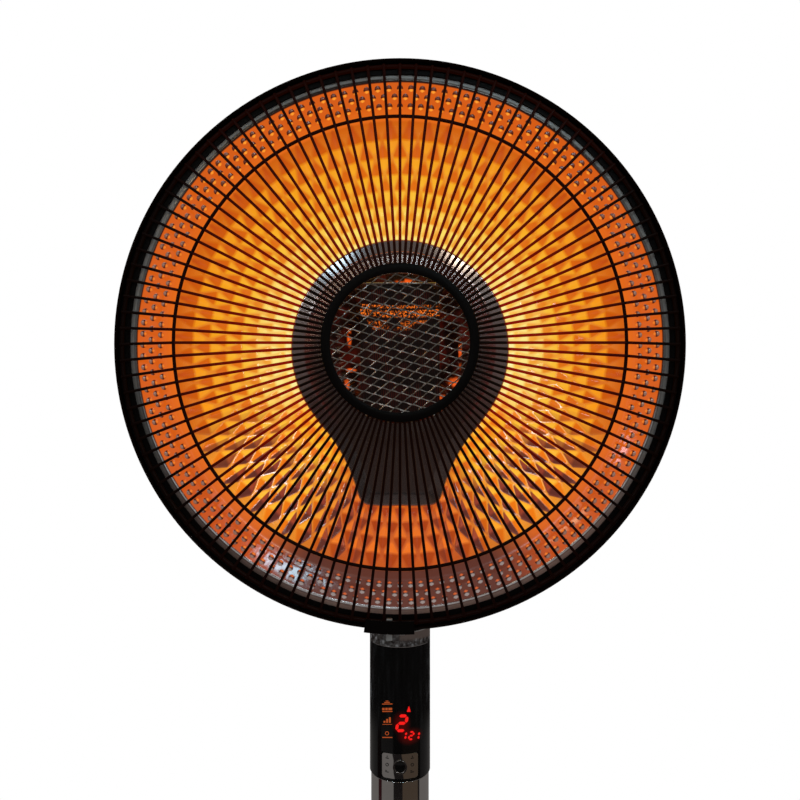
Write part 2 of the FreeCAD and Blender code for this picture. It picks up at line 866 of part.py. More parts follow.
def tilt_bolt():
    head_start = Vector(-ear_end - tilt_head_height, 0, pivot_height)
    head = hexagon(tilt_head_flats, head_start, tilt_head_height)
    end = Vector(ear_end + tilt_nut_height, 0, pivot_height)
    return head.fuse(rod(tilt_bolt_radius, Vector(-ear_end, 0, pivot_height), end)).removeSplitter()


def tilt_nut():
    start = Vector(ear_end, 0, pivot_height)
    nut = hexagon(tilt_head_flats, start, tilt_nut_height)
    return nut.cut(rod(tilt_bolt_radius + running_fit, start, start + Vector(tilt_nut_height, 0, 0)))


def friction_washers():
    washers = []
    for direction in (-1, 1):
        start = Vector(direction * washer_start, 0, pivot_height)
        end = Vector(direction * ear_start, 0, pivot_height)
        washers.append(rod(ear_radius, start, end).cut(rod(tilt_bolt_radius + running_fit, start, end)))
    return Part.makeCompound(washers)


def top_collar():
    bore = core_radius + running_fit
    spigot = sleeve_bore - running_fit
    return turned(section([
        (bore, sleeve_top - collar_lip), (spigot, sleeve_top - collar_lip), (spigot, sleeve_top),
        (collar_radius, sleeve_top), (collar_radius, collar_top), (bore, collar_top),
    ]))


def plate_sector(inner, outer, play):
    bottom = sleeve_bottom + plate_lift - play
    top = sleeve_bottom + plate_lift + plate_height + play
    half_angle = plate_half_angle + math.degrees(play / sleeve_radius)
    return ring_sector(inner, outer, bottom, top, -90, half_angle)


def button_rod(radius, front, length):
    start = Vector(0, front, sleeve_bottom + button_lift)
    return rod(radius, start, start + Vector(0, length, 0))


def display_sleeve():
    sleeve = ring(sleeve_bore, sleeve_radius, sleeve_bottom, sleeve_top)
    return sleeve.cut(plate_sector(sleeve_bore - cut_margin, sleeve_radius + cut_margin, seat_gap))


def button_plate():
    plate = plate_sector(sleeve_radius - plate_sheet, sleeve_radius, 0)
    return plate.cut(button_rod(button_radius + button_play, -sleeve_radius - cut_margin, sleeve_radius))


def push_button():
    return button_rod(button_radius, -sleeve_radius - button_proud, button_length)


def board_front():
    return -board_setback - board_sheet


def display_board():
    low = Vector(-board_width / 2, board_front(), sleeve_bottom + foot_ring_spigot + seat_gap)
    high = Vector(board_width / 2, -board_setback, sleeve_top - collar_lip - seat_gap)
    return box(low, high)


def led_display():
    top = sleeve_top - led_top_drop
    low = Vector(led_side - led_width / 2, board_front() - led_depth, top - led_height)
    return box(low, Vector(led_side + led_width / 2, board_front(), top))


def button_switch():
    button_end = -sleeve_radius - button_proud + button_length
    front = button_end + button_travel + seat_gap
    level = sleeve_bottom + button_lift
    low = Vector(-switch_width / 2, front, level - switch_width / 2)
    return box(low, Vector(switch_width / 2, board_front(), level + switch_width / 2))


def sleeve_foot_ring():
    bore = core_radius + running_fit
    upper = sleeve_bore - running_fit
    lower = pole_bore - running_fit
    lip = pole_radius - foot_ring_inset
    return turned(section([
        (bore, pole_top - foot_ring_spigot), (lower, pole_top - foot_ring_spigot), (lower, pole_top),
        (lip, pole_top), (lip, sleeve_bottom), (upper, sleeve_bottom),
        (upper, sleeve_bottom + foot_ring_spigot), (bore, sleeve_bottom + foot_ring_spigot),
    ]))


def pole_tube():
    return ring(pole_bore, pole_radius, pole_bottom, pole_top)


def core_tube():
    return ring(core_bore, core_radius, bush_bottom + thrust_gap, collar_top)


def pole_foot():
    bore = core_radius + running_fit
    spigot = pole_bore - running_fit
    top = pole_bottom + pole_foot_height
    return turned(section([
        (bore, foot_flange_bottom), (pole_radius, foot_flange_bottom), (pole_radius, pole_bottom),
        (spigot, pole_bottom), (spigot, top), (bore, top),
    ]))


def column_harness():
    side = core_bore - harness_radius - seat_gap
    start = Vector(side, 0, bush_bottom + thrust_gap)
    return rod(harness_radius, start, Vector(side, 0, collar_top - fork_spigot_length - seat_gap))


def gear_face(teeth, first_angle):
    # Involute gear outline: each flank is a few points on the involute of the base circle
    pressure = math.radians(pressure_angle)
    pitch_radius = gear_module * teeth / 2
    base_circle = pitch_radius * math.cos(pressure)
    tip = pitch_radius + gear_module
    root = pitch_radius - tooth_root_depth * gear_module
    half_tooth = math.pi / (2 * teeth) - gear_backlash / (2 * pitch_radius)
    start = max(base_circle, root)
    flank = []
    for index in range(flank_points):
        radius = start + (tip - start) * index / (flank_points - 1)
        roll = math.acos(min(1.0, base_circle / radius))
        turn = half_tooth + math.tan(pressure) - pressure - math.tan(roll) + roll
        flank.append((radius, turn))
    if root < base_circle:
        flank.insert(0, (root, flank[0][1]))
    points = []
    for index in range(teeth):
        middle = math.radians(first_angle) + 2 * math.pi * index / teeth
        for radius, turn in flank:
            points.append(Vector(radius * math.cos(middle - turn), radius * math.sin(middle - turn), 0))
        for radius, turn in reversed(flank):
            points.append(Vector(radius * math.cos(middle + turn), radius * math.sin(middle + turn), 0))
    return Part.Face(outline(points))


def swivel_gear():
    bore = core_radius + running_fit
    face = gear_face(gear_teeth, 90.0)
    face.translate(Vector(0, 0, gear_bottom))
    gear = face.extrude(Vector(0, 0, gear_width))
    hub = rod(gear_hub_radius, Vector(0, 0, gear_top), Vector(0, 0, gear_hub_top))
    hole = rod(bore, Vector(0, 0, gear_bottom), Vector(0, 0, gear_hub_top))
    return gear.fuse(hub).cut(hole)


def motor_top():
    return plate_top + motor_height


def swing_pinion():
    bottom = gear_bottom - pinion_overhang
    face = gear_face(pinion_teeth, -90.0 + 180.0 / pinion_teeth)
    face.translate(Vector(0, pinion_distance, bottom))
    gear = face.extrude(Vector(0, 0, gear_width + 2 * pinion_overhang))
    shaft_bottom = motor_top() - pinion_shaft_seat + thrust_gap
    shaft_start = Vector(0, pinion_distance, shaft_bottom)
    shaft = rod(pinion_shaft_radius, shaft_start, Vector(0, pinion_distance, bottom))
    return gear.fuse(shaft)


def swing_motor():
    low = Vector(0, pinion_distance, plate_top)
    can = rod(motor_radius, low, low + Vector(0, 0, motor_height))
    seat = Vector(0, pinion_distance, motor_top() - pinion_shaft_seat)
    return can.cut(rod(pinion_shaft_radius + running_fit, seat, seat + Vector(0, 0, pinion_shaft_seat)))


def dome_edges(wall):
    # Top surface of the cover's dome, from its hub out to its upright edge
    edge_radius = base_radius - wall
    middle_radius = (base_hub_radius + edge_radius) / 2
    start = Vector(base_hub_radius, 0, base_top - wall)
    middle = Vector(middle_radius, 0, dome_height(middle_radius, wall))
    end = Vector(edge_radius, 0, dome_height(edge_radius, wall))
    return start, end, arc(start, middle, end)


def base_bosses(radius, bottom, top):
    start = Vector(boss_circle, 0, bottom)
    return turned_copies(rod(radius, start, Vector(boss_circle, 0, top)), boss_count)


def gland_rod(radius, start, end):
    level = plate_top + gland_rise
    return rod(radius, Vector(0, start, level), Vector(0, end, level))


def base_cover():
    opening = core_radius + pole_foot_gap
    outer_start, outer_end, outer_dome = dome_edges(0)
    inner_start, inner_end, inner_dome = dome_edges(base_wall)
    outer_foot = Vector(base_radius, 0, foot_height)
    inner_foot = Vector(base_radius - base_wall, 0, foot_height)
    outer_mouth = Vector(opening, 0, base_top)
    inner_mouth = Vector(opening, 0, base_top - base_wall)
    edges = [line(outer_mouth, outer_start), outer_dome, line(outer_end, outer_foot)]
    edges += [line(outer_foot, inner_foot), line(inner_foot, inner_end), inner_dome]
    edges += [line(inner_start, inner_mouth), line(inner_mouth, outer_mouth)]
    shell = turned(Part.Face(Part.Wire(Part.__sortEdges__(edges))))
    boss_top = dome_height(boss_circle + boss_radius, 0) - base_wall / 2
    bosses = base_bosses(boss_radius, plate_top, boss_top)
    cover = shell.fuse(bosses)
    screw_top = foot_height + base_screw_length + seat_gap
    holes = base_bosses(base_screw_radius + running_fit, plate_top, screw_top)
    gland_hole = gland_rod(gland_radius + running_fit, base_radius - 2 * base_wall, base_radius + base_wall)
    return cover.cut(holes + [gland_hole])


def base_plate():
    plate = rod(plate_radius, Vector(0, 0, foot_height), Vector(0, 0, plate_top))
    holes = base_bosses(plate_hole_radius, foot_height, plate_top)
    plunger_hole = plunger_radius + plunger_hole_play
    holes.append(rod(plunger_hole, Vector(tip_side, 0, foot_height), Vector(tip_side, 0, plate_top)))
    return plate.cut(holes)


def base_screws():
    shanks = base_bosses(base_screw_radius, foot_height, foot_height + base_screw_length)
    heads = base_bosses(base_screw_head_radius, foot_height - base_screw_head, foot_height)
    return Part.makeCompound([shank.fuse(head) for shank, head in zip(shanks, heads)])


def rubber_feet():
    start = Vector(foot_circle, 0, 0)
    foot = rod(foot_radius, start, Vector(foot_circle, 0, foot_height))
    return Part.makeCompound(turned_copies(foot, foot_count, 180.0 / foot_count))


def swivel_bush():
    bore = core_radius + running_fit
    return turned(section([
        (bore, bush_bottom), (bush_radius, bush_bottom), (bush_radius, bush_flange_bottom),
        (bush_flange_radius, bush_flange_bottom), (bush_flange_radius, bush_top), (bore, bush_top),
    ]))


def bush_housing():
    seat = bush_radius + running_fit
    outside = seat + housing_wall
    return turned(section([
        (housing_bore_radius, plate_top), (housing_flange_radius, plate_top),
        (housing_flange_radius, bush_bottom), (outside, bush_bottom), (outside, bush_flange_bottom),
        (seat, bush_flange_bottom), (seat, bush_bottom), (housing_bore_radius, bush_bottom),
    ]))


def ballast_weight():
    weight = ring(ballast_inner_radius, ballast_outer_radius, plate_top, plate_top + ballast_height)
    half_gap = ballast_gap_width / 2
    gap_top = Vector(half_gap, base_radius, plate_top + ballast_height)
    return weight.cut(box(Vector(-half_gap, 0, plate_top), gap_top))


def power_board():
    half = power_board_width / 2
    bottom = plate_top + power_board_lift
    top = bottom + power_board_sheet
    back = -power_board_reach + power_board_depth
    board = box(Vector(-half, -power_board_reach, bottom), Vector(half, back, top))
    pieces = []
    inset = 2 * power_board_pin
    for side in (-half + inset, half - inset):
        for level in (-power_board_reach + inset, back - inset):
            pieces.append(rod(power_board_pin, Vector(side, level, plate_top), Vector(side, level, bottom)))
    for side in (-half + inset, half - inset - relay_width):
        low = Vector(side, -power_board_reach + inset, top)
        pieces.append(box(low, low + Vector(relay_width, relay_width, relay_height)))
    return board.fuse(pieces).removeSplitter()


def cord_gland():
    outside = base_radius - seat_gap
    inside = base_radius - gland_length
    wall_inside = math.sqrt((base_radius - base_wall) ** 2 - gland_flange_radius**2)
    body = gland_rod(gland_radius, inside, outside - gland_radius**2 / (2 * base_radius))
    flange = gland_rod(gland_flange_radius, wall_inside - gland_flange, wall_inside)
    return body.fuse(flange).removeSplitter().cut(gland_rod(gland_bore, inside, base_radius))


def tip_switch_case():
    half = tip_case_width / 2
    low = Vector(tip_side - half, -half, plate_top)
    case = box(low, low + Vector(tip_case_width, tip_case_width, tip_case_height))
    start = Vector(tip_side, 0, plate_top)
    return case.cut(rod(plunger_radius + running_fit, start, start + Vector(0, 0, tip_bore_depth)))


def tip_plunger():
    start = Vector(tip_side, 0, 0)
    return rod(plunger_radius, start, start + Vector(0, 0, plunger_length))


head_pieces = {
    "rim_hoop": rim_hoop(),
    "rim_joint_block": rim_joint_block(),
    "rim_clip": rim_clip(),
    "rim_clip_screw": rim_clip_screw(),
    "reflector_dish": reflector_dish(),
    "guard_basket": guard_basket(),
    "guard_hub_ring": guard_hub_ring(),
    "guard_mesh": guard_mesh(),
    "front_shield": front_shield(),
    "shield_posts": shield_posts(),
    "element_frame": element_frame(),
    "element_screen": element_screen(),
    "quartz_tubes": quartz_tubes(),
    "carbon_filaments": carbon_filaments(),
    "upper_lamp_holder": lamp_holder(-1),
    "lower_lamp_holder": lamp_holder(1),
    "lead_terminal": lead_terminal(),
    "lamp_leads": lamp_leads(),
    "element_stem": element_stem(),
    "back_plate": back_plate(),
    "thermal_cutout": thermal_cutout(),
    "terminal_block": terminal_block(),
    "cover_posts": cover_posts(),
    "rear_cover": rear_cover(),
    "rear_cover_screws": rear_cover_screws(),
    "head_arm": head_arm(),
    "arm_screws": arm_screws(),
    "tilt_bush": tilt_bush(),
}

stand_pieces = {
    "neck_fork": neck_fork(),
    "tilt_bolt": tilt_bolt(),
    "tilt_nut": tilt_nut(),
    "friction_washers": friction_washers(),
    "top_collar": top_collar(),
    "display_sleeve": display_sleeve(),
    "display_board": display_board(),
    "led_display": led_display(),
    "button_plate": button_plate(),
    "push_button": push_button(),
    "button_switch": button_switch(),
    "sleeve_foot_ring": sleeve_foot_ring(),
    "pole_tube": pole_tube(),
    "core_tube": core_tube(),
    "pole_foot": pole_foot(),
    "column_harness": column_harness(),
    "swivel_gear": swivel_gear(),
    "swing_pinion": swing_pinion(),
    "swing_motor": swing_motor(),
    "base_cover": base_cover(),
    "base_plate": base_plate(),
    "base_screws": base_screws(),
    "rubber_feet": rubber_feet(),
    "swivel_bush": swivel_bush(),
    "bush_housing": bush_housing(),
    "ballast_weight": ballast_weight(),
    "power_board": power_board(),
    "cord_gland": cord_gland(),
    "tip_switch_case": tip_switch_case(),
    "tip_plunger": tip_plunger(),
}

os.makedirs("parts", exist_ok=True)
for name, shape in head_pieces.items():
    place_in_head(shape).exportStep("parts/" + name + ".step")
for name, shape in stand_pieces.items():
    shape.exportStep("parts/" + name + ".step")
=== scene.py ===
import json
import math
from contextlib import contextmanager

import bpy
import numpy as np
from mathutils import Matrix, Vector

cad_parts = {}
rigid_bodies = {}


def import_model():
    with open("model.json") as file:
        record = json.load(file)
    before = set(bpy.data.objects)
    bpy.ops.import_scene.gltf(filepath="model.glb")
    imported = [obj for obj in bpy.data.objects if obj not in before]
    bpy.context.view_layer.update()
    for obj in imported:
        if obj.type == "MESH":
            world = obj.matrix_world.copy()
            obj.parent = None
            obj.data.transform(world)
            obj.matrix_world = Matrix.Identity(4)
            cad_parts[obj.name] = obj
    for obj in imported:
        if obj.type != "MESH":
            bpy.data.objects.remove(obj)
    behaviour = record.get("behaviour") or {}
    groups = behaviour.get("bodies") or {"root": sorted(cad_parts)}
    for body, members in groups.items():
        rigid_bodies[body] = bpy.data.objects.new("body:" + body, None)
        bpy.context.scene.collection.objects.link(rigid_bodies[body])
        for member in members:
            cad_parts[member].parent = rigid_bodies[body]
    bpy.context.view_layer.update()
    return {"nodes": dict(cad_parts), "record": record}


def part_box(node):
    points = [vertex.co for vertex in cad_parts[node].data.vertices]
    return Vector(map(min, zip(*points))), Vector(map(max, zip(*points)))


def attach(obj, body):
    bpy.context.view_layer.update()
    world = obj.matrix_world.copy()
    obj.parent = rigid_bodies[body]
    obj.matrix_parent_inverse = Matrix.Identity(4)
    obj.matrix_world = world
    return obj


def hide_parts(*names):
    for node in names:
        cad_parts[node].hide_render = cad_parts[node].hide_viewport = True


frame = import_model()
nodes = frame["nodes"]
for spare in [item for item in bpy.data.objects if item.name in ("Cube", "Light", "Camera")]:
    bpy.data.objects.remove(spare)

MM = 0.001
FULL_TURN = 2 * math.pi
BLACK = (0, 0, 0, 1)
WHITE = (1, 1, 1, 1)
# Points closer than this are merged, and the depth of a finish's fine grain, both in metres
MERGE_DISTANCE = 1e-6
GRAIN_DEPTH = 0.0004
# Sizes of the heater in millimetres, the same as the solids have
HEAD_HEIGHT = 630.0
HOOP_REACH = 54.0
HOOP_RADIUS = 200.0
LIP_DEPTH = 7.5
DISH_RIM = 198.3
DISH_MOUTH = 186.5
DISH_BAND = 166.0
BAND_DEPTH = 17.5
LAND_RADIUS = 40.0
LAND_DEPTH = 90.0
BOWL_CENTRE = -125.26
BOWL_RADIUS = 218.94
STEM_HOLE = 9.2
BAND_SLOPE = math.atan2(BAND_DEPTH - LIP_DEPTH, DISH_MOUTH - DISH_BAND)
SLEEVE_RADIUS = 23.0
HEAD_AXIS = Vector((0, 1, 0))
HEAD_CENTRE = Vector((0, 0, HEAD_HEIGHT * MM))


def head_point(side, down, depth):
    # Point by its place from the head's axis and its depth behind the hoop's front
    return Vector((side, depth - HOOP_REACH, HEAD_HEIGHT - down)) * MM


def bowl_depth(radius):
    # Depth of the plain bowl at a distance from the axis
    return BOWL_CENTRE + math.sqrt(BOWL_RADIUS**2 - radius**2)


def screen_colour(red, green, blue):
    # Linear colour of a colour as it shows on a screen
    shares = [value / 255 for value in (red, green, blue)]
    linear = [s / 12.92 if s <= 0.04045 else ((s + 0.055) / 1.055) ** 2.4 for s in shares]
    return (*linear, 1.0)


class Level:
    """One output in a material, so that sums of outputs are written as sums."""

    def __init__(self, finish, socket):
        self.finish = finish
        self.socket = socket

    def math(self, operation, first, second, clamp=False):
        settings = {"operation": operation, "use_clamp": clamp}
        return self.finish.node("ShaderNodeMath", settings, {0: first, 1: second})

    def __add__(self, other):
        return self.math("ADD", self, other)

    def __radd__(self, other):
        return self.math("ADD", other, self)

    def __sub__(self, other):
        return self.math("SUBTRACT", self, other)

    def __rsub__(self, other):
        return self.math("SUBTRACT", other, self)

    def __mul__(self, other):
        return self.math("MULTIPLY", self, other)

    def __rmul__(self, other):
        return self.math("MULTIPLY", other, self)

    def __truediv__(self, other):
        return self.math("DIVIDE", self, other)

    def clamped(self):
        return self.math("ADD", self, 0.0, True)

    def size(self):
        return self.math("ABSOLUTE", self, 0.0)


class Finish:
    """A material that is built node by node."""

    def __init__(self, name, world=None):
        owner = world or bpy.data.materials.new(name)
        owner.use_nodes = True
        self.material = owner
        self.tree = owner.node_tree
        self.tree.nodes.clear()

    def node(self, kind, settings=None, inputs=None, output=0):
        made = self.tree.nodes.new(kind)
        for name, value in (settings or {}).items():
            if name == "stops":
                ramp = made.color_ramp
                while len(ramp.elements) < len(value):
                    ramp.elements.new(0.5)
                for element, (place, colour) in zip(ramp.elements, value):
                    element.position = place
                    element.color = colour
            else:
                setattr(made, name, value)
        for name, value in (inputs or {}).items():
            if isinstance(value, Level):
                self.tree.links.new(value.socket, made.inputs[name])
            else:
                made.inputs[name].default_value = value
        return Level(self, made.outputs[output]) if made.outputs else None

    def place(self):
        return self.node("ShaderNodeTexCoord", output="Object")

    def shifted(self, centre, size=(1, 1, 1)):
        moved = self.node("ShaderNodeVectorMath", {"operation": "SUBTRACT"}, {0: self.place(), 1: centre})
        return self.node("ShaderNodeVectorMath", {"operation": "MULTIPLY"}, {0: moved, 1: size})

    def part_of(self, vector, axis):
        return self.node("ShaderNodeSeparateXYZ", None, {0: vector}, output=axis)

    def length(self, vector):
        return self.node("ShaderNodeVectorMath", {"operation": "LENGTH"}, {0: vector}, output="Value")

    def noise(self, scale, detail=2.0, vector=None):
        inputs = {"Vector": vector or self.place(), "Scale": scale, "Detail": detail}
        return self.node("ShaderNodeTexNoise", None, inputs)

    def ramp(self, level, stops):
        return self.node("ShaderNodeValToRGB", {"stops": stops}, {0: level})

    def toned(self, level, stages, tones):
        # Colours as they show on a screen, set out along a level
        return self.ramp(level, [(stage, screen_colour(*tone)) for stage, tone in zip(stages, tones)])

    def mix(self, factor, first, second):
        return self.node("ShaderNodeMix", {"data_type": "RGBA"}, {0: factor, 6: first, 7: second}, output=2)

    def spread(self, level, low, high):
        # Smooth step of a level from 0 at low to 1 at high
        settings = {"interpolation_type": "SMOOTHSTEP", "clamp": True}
        return self.node("ShaderNodeMapRange", settings, {0: level, 1: low, 2: high})

    def zone(self, level, first, full, last, gone):
        # Smooth band of a level that rises from first to full and falls from last to gone
        return self.spread(level, first, full) * (1 - self.spread(level, last, gone))

    def spot(self, side, height, wide, tall, core):
        # Spot on the front, full up to a share of its half width and half height
        away = self.shifted(Vector((side, 0, height)) * MM, (1 / (wide * MM), 0, 1 / (tall * MM)))
        return 1 - self.spread(self.length(away), core, 1.0)

    def head_place(self):
        # Place round the head's axis, distance from it, and how far down it lies, from -1 to 1
        around = self.shifted(HEAD_CENTRE, (1, 0, 1))
        radius = self.length(around)
        return around, radius, self.part_of(around, "Z") * -1.0 / radius

    def mark(self, name):
        # A value that is kept at the mesh's points
        return self.node("ShaderNodeAttribute", {"attribute_name": name}, output="Fac")

    def bump(self, height, strength, distance=GRAIN_DEPTH):
        inputs = {"Strength": strength, "Distance": distance, "Height": height}
        return self.node("ShaderNodeBump", None, inputs)

    def shown_rays(self):
        # Rays from the camera, and rays that bright or clear surfaces pass on
        kinds = ("Is Camera Ray", "Is Glossy Ray", "Is Transmission Ray")
        seen, mirrored, through = [self.node("ShaderNodeLightPath", output=kind) for kind in kinds]
        return seen, mirrored + through

    def light(self, kind, colour, strength=1.0):
        return self.node(kind, None, {"Color": colour, "Strength": strength})

    def surface(self, **values):
        inputs = {name.replace("_", " "): value for name, value in values.items()}
        shader = self.node("ShaderNodeBsdfPrincipled", None, inputs)
        self.node("ShaderNodeOutputMaterial", None, {"Surface": shader})
        return self.material


def speckled(name, colour, roughness, metal=0.0, spread=0.12, grain=900.0, bump=0.05, **fixed):
    # Finish with a little change of tone and gloss and a fine grain
    finish = Finish(name)
    broad = finish.noise(14.0, 3.0)
    fine = finish.noise(grain, 2.0)
    darker = [c * (1 - spread) for c in colour]
    lighter = [min(1.0, c * (1 + spread)) for c in colour]
    tone = finish.mix(finish.spread(broad, 0.3, 0.7), (*darker, 1), (*lighter, 1))
    gloss = roughness + (fine - 0.5) * roughness * 0.5 + (broad - 0.5) * roughness * 0.3
    normal = finish.bump(fine, bump)
    return finish.surface(Base_Color=tone, Roughness=gloss, Metallic=metal, Normal=normal, **fixed)


def brushed(name, colour, roughness, along, **fixed):
    # Metal with fine lines along one axis
    finish = Finish(name)
    squeeze = [900.0, 900.0, 900.0]
    squeeze[along] = 12.0
    lines = finish.noise(1.0, 3.0, finish.shifted((0, 0, 0), squeeze))
    tone = finish.mix(lines, (*[c * 0.82 for c in colour], 1), (*[min(1.0, c * 1.15) for c in colour], 1))
    gloss = roughness + (lines - 0.5) * roughness * 0.7
    normal = finish.bump(lines, 0.06, 0.0003)
    return finish.surface(Base_Color=tone, Roughness=gloss, Metallic=1.0, Normal=normal, **fixed)


# Painted reflections of the lamps in the middle of the dish: place across and up, half width and half
# height
LAMP_STREAKS = (
    (-41, 641, 2.4, 9), (48.5, 629, 1.7, 16), (4, 686, 10, 3.0), (-40, 615, 6, 2.2), (-43, 604, 3.0, 8),
    (44, 605, 6, 6), (18, 583, 6, 2.0), (27, 588, 6, 2.4), (35, 593, 5, 3.0), (-20, 584, 14, 2.2),
)
# The bowl's lit part in metres from the axis, and the painted glow tones of its diamonds' lit and shaded
# sides
BOWL_LIGHT = (0.080, 0.166)
LIT_STAGES = (0.0, 0.2, 0.4, 0.6, 0.85, 1.0)
LIT_TONES = (
    (255, 242, 150), (254, 226, 104), (251, 196, 56), (249, 174, 32), (245, 152, 22), (228, 110, 20),
)
SHADED_STAGES = (0.0, 0.25, 0.5, 0.75, 1.0)
SHADED_TONES = ((250, 186, 56), (236, 134, 20), (222, 104, 16), (208, 84, 14), (178, 60, 12))
# Where the lower diamonds turn orange, and where the sides that lean to the foot turn brown with painted
# shade
ORANGE_EDGE = (0.070, 0.090)
FOOT_SHADE_EDGE = (0.094, 0.130)


def bowl_glow(finish, radius, down, beside, lit):
    # Light of the lamps painted on the diamonds as a glow: pale yellow by the shield, deep orange by the
    # band, with painted shade on the lower sides that lean to the foot
    out = ((radius - BOWL_LIGHT[0]) / (BOWL_LIGHT[1] - BOWL_LIGHT[0])).clamped()
    bright = finish.toned(out, LIT_STAGES, LIT_TONES)
    dim = finish.toned(out, SHADED_STAGES, SHADED_TONES)
    # Painted paler glow on the sides near the shield
    painted_side_glow = finish.spread(beside, 0.55, 0.95) * (1 - finish.spread(out, 0.0, 0.5))
    bright = finish.mix(painted_side_glow * 0.8, bright, screen_colour(255, 244, 165))
    dim = finish.mix(painted_side_glow * 0.7, dim, screen_colour(255, 205, 80))
    glow = finish.mix(lit, dim, bright)
    low = finish.spread(down, 0.28, 0.6) * finish.spread(radius, *ORANGE_EDGE)
    leaf = finish.mix(lit, screen_colour(236, 106, 16), screen_colour(255, 190, 48))
    foot = finish.mix(lit, screen_colour(160, 56, 22), screen_colour(232, 112, 32))
    leaf = finish.mix(finish.spread(down, 0.82, 0.98), leaf, foot)
    glow = finish.mix(low, glow, leaf)
    away = finish.mark("foot_lean")
    low = low * finish.spread(radius, *FOOT_SHADE_EDGE)
    shade = low * finish.spread(beside, 0.08, 0.32) * finish.spread(away, 0.44, 0.70)
    brown = finish.mix(lit, screen_colour(86, 46, 40), screen_colour(146, 56, 34))
    return finish.mix(shade, glow, brown)


# Painted light and shade: tones of the band's sheet and dimples from their outer to their inner side,
# above, beside and below
SHEET_STAGES = (0.0, 0.12, 0.42, 0.6, 1.0)
SHEET_TONES = (
    ((62, 22, 10), (52, 18, 8), (210, 90, 18), (216, 94, 20), (255, 172, 50)),
    ((92, 62, 52), (38, 18, 12), (184, 70, 22), (188, 74, 24), (238, 130, 56)),
    ((140, 124, 120), (44, 24, 18), (92, 47, 36), (94, 49, 38), (222, 108, 52)),
)
DIMPLE_STAGES = (0.08, 0.25, 0.42, 0.56, 0.68, 0.86)
DIMPLE_TONES = (
    ((96, 44, 26), (92, 38, 22), (72, 24, 12), (70, 22, 8), (232, 112, 26), (255, 160, 48)),
    ((146, 106, 90), (122, 84, 70), (80, 38, 26), (54, 16, 8), (184, 74, 20), (236, 122, 36)),
    ((150, 136, 132), (146, 132, 128), (84, 58, 50), (48, 20, 14), (112, 46, 28), (200, 94, 50)),
)
# The painted glow beside the band's fold fades over this stretch, in metres from the axis
FOLD_GLOW = (0.164, 0.174)


def band_glow(finish, radius, down, lit):
    # The band's painted glow is even, with painted shade in brown below, and each dimple is painted dull
    # outside and bright on its inner side
    domed = finish.mark("dimple")
    low = finish.spread(down, 0.78, 0.93)
    above, beside, below = [finish.toned(lit, SHEET_STAGES, tones) for tones in SHEET_TONES]
    sheet = finish.mix(finish.spread(down, 0.30, 0.75) * 0.7, above, beside)
    by_fold = 1 - finish.spread(radius, *FOLD_GLOW)
    sheet = finish.mix(by_fold * 0.5, sheet, screen_colour(240, 118, 30))
    sheet = finish.mix(low, sheet, below)
    above, beside, below = [finish.toned(lit, DIMPLE_STAGES, tones) for tones in DIMPLE_TONES]
    dome = finish.mix(finish.spread(down, -0.85, -0.25), above, beside)
    return finish.mix(domed, sheet, finish.mix(low, dome, below))


def middle_glow(finish):
    # Painted dark red glow in the hollow behind the shield, with painted reflections of the lamps
    flicker = finish.spread(finish.noise(150.0), 0.36, 0.58)
    streaks = 0.0
    for streak in LAMP_STREAKS:
        streaks = streaks + finish.spot(*streak, 0.3) * flicker
    warm = finish.spread(finish.noise(70.0), 0.45, 0.7)
    painted_red_glow = finish.mix(warm, screen_colour(12, 3, 2), screen_colour(58, 11, 6))
    return finish.mix(streaks.clamped(), painted_red_glow, screen_colour(240, 92, 26))


# Where the dish's finish changes, in metres from the axis: hollow, matt part, band and lip
HOLLOW_EDGE = (0.064, 0.076)
MATT_EDGE = (0.155, 0.162)
BAND_EDGE = (0.1622, 0.1636)
LIP_EDGE = (0.1860, 0.1868)
# On the lip: its dull part, the end of its painted shade above and its painted shade at the lower left
LIP_DULL = (0.1876, 0.1884)
LIP_SHADE = (0.1878, 0.1890)
LIP_LOW_SHADE = (0.1880, 0.1955)
# The dark fold and the bright line along the lip, whose base is painted brighter towards the bottom as a
# highlight, each rising and falling
FOLD = (0.158, 0.162, 0.167, 0.170)
LIP_HIGHLIGHT_LINE = (0.1858, 0.1862, 0.1869, 0.1873)


def lip_tone(finish, around, radius, down):
    # Bare lip: painted shade inside at the top, warmer below and painted shade at the lower left
    tone = finish.mix(finish.spread(down, 0.3, 0.8), (0.21, 0.20, 0.19, 1), (0.36, 0.22, 0.18, 1))
    shaded = finish.spread(down * -1.0, 0.5, 0.8) * (1 - finish.spread(radius, *LIP_SHADE))
    tone = finish.mix(shaded, tone, (0.05, 0.036, 0.03, 1))
    leftward = finish.part_of(around, "X") * -1.0 / radius
    # Painted shade that darkens the lip at the lower left, most towards its outer edge
    low_left_shade = finish.spread(leftward, 0.25, 0.5) * finish.spread(down, 0.0, 0.3)
    low_left_shade = low_left_shade * (0.45 + finish.spread(radius, *LIP_LOW_SHADE) * 0.5)
    return finish.mix(low_left_shade, tone, (0.02, 0.019, 0.017, 1))


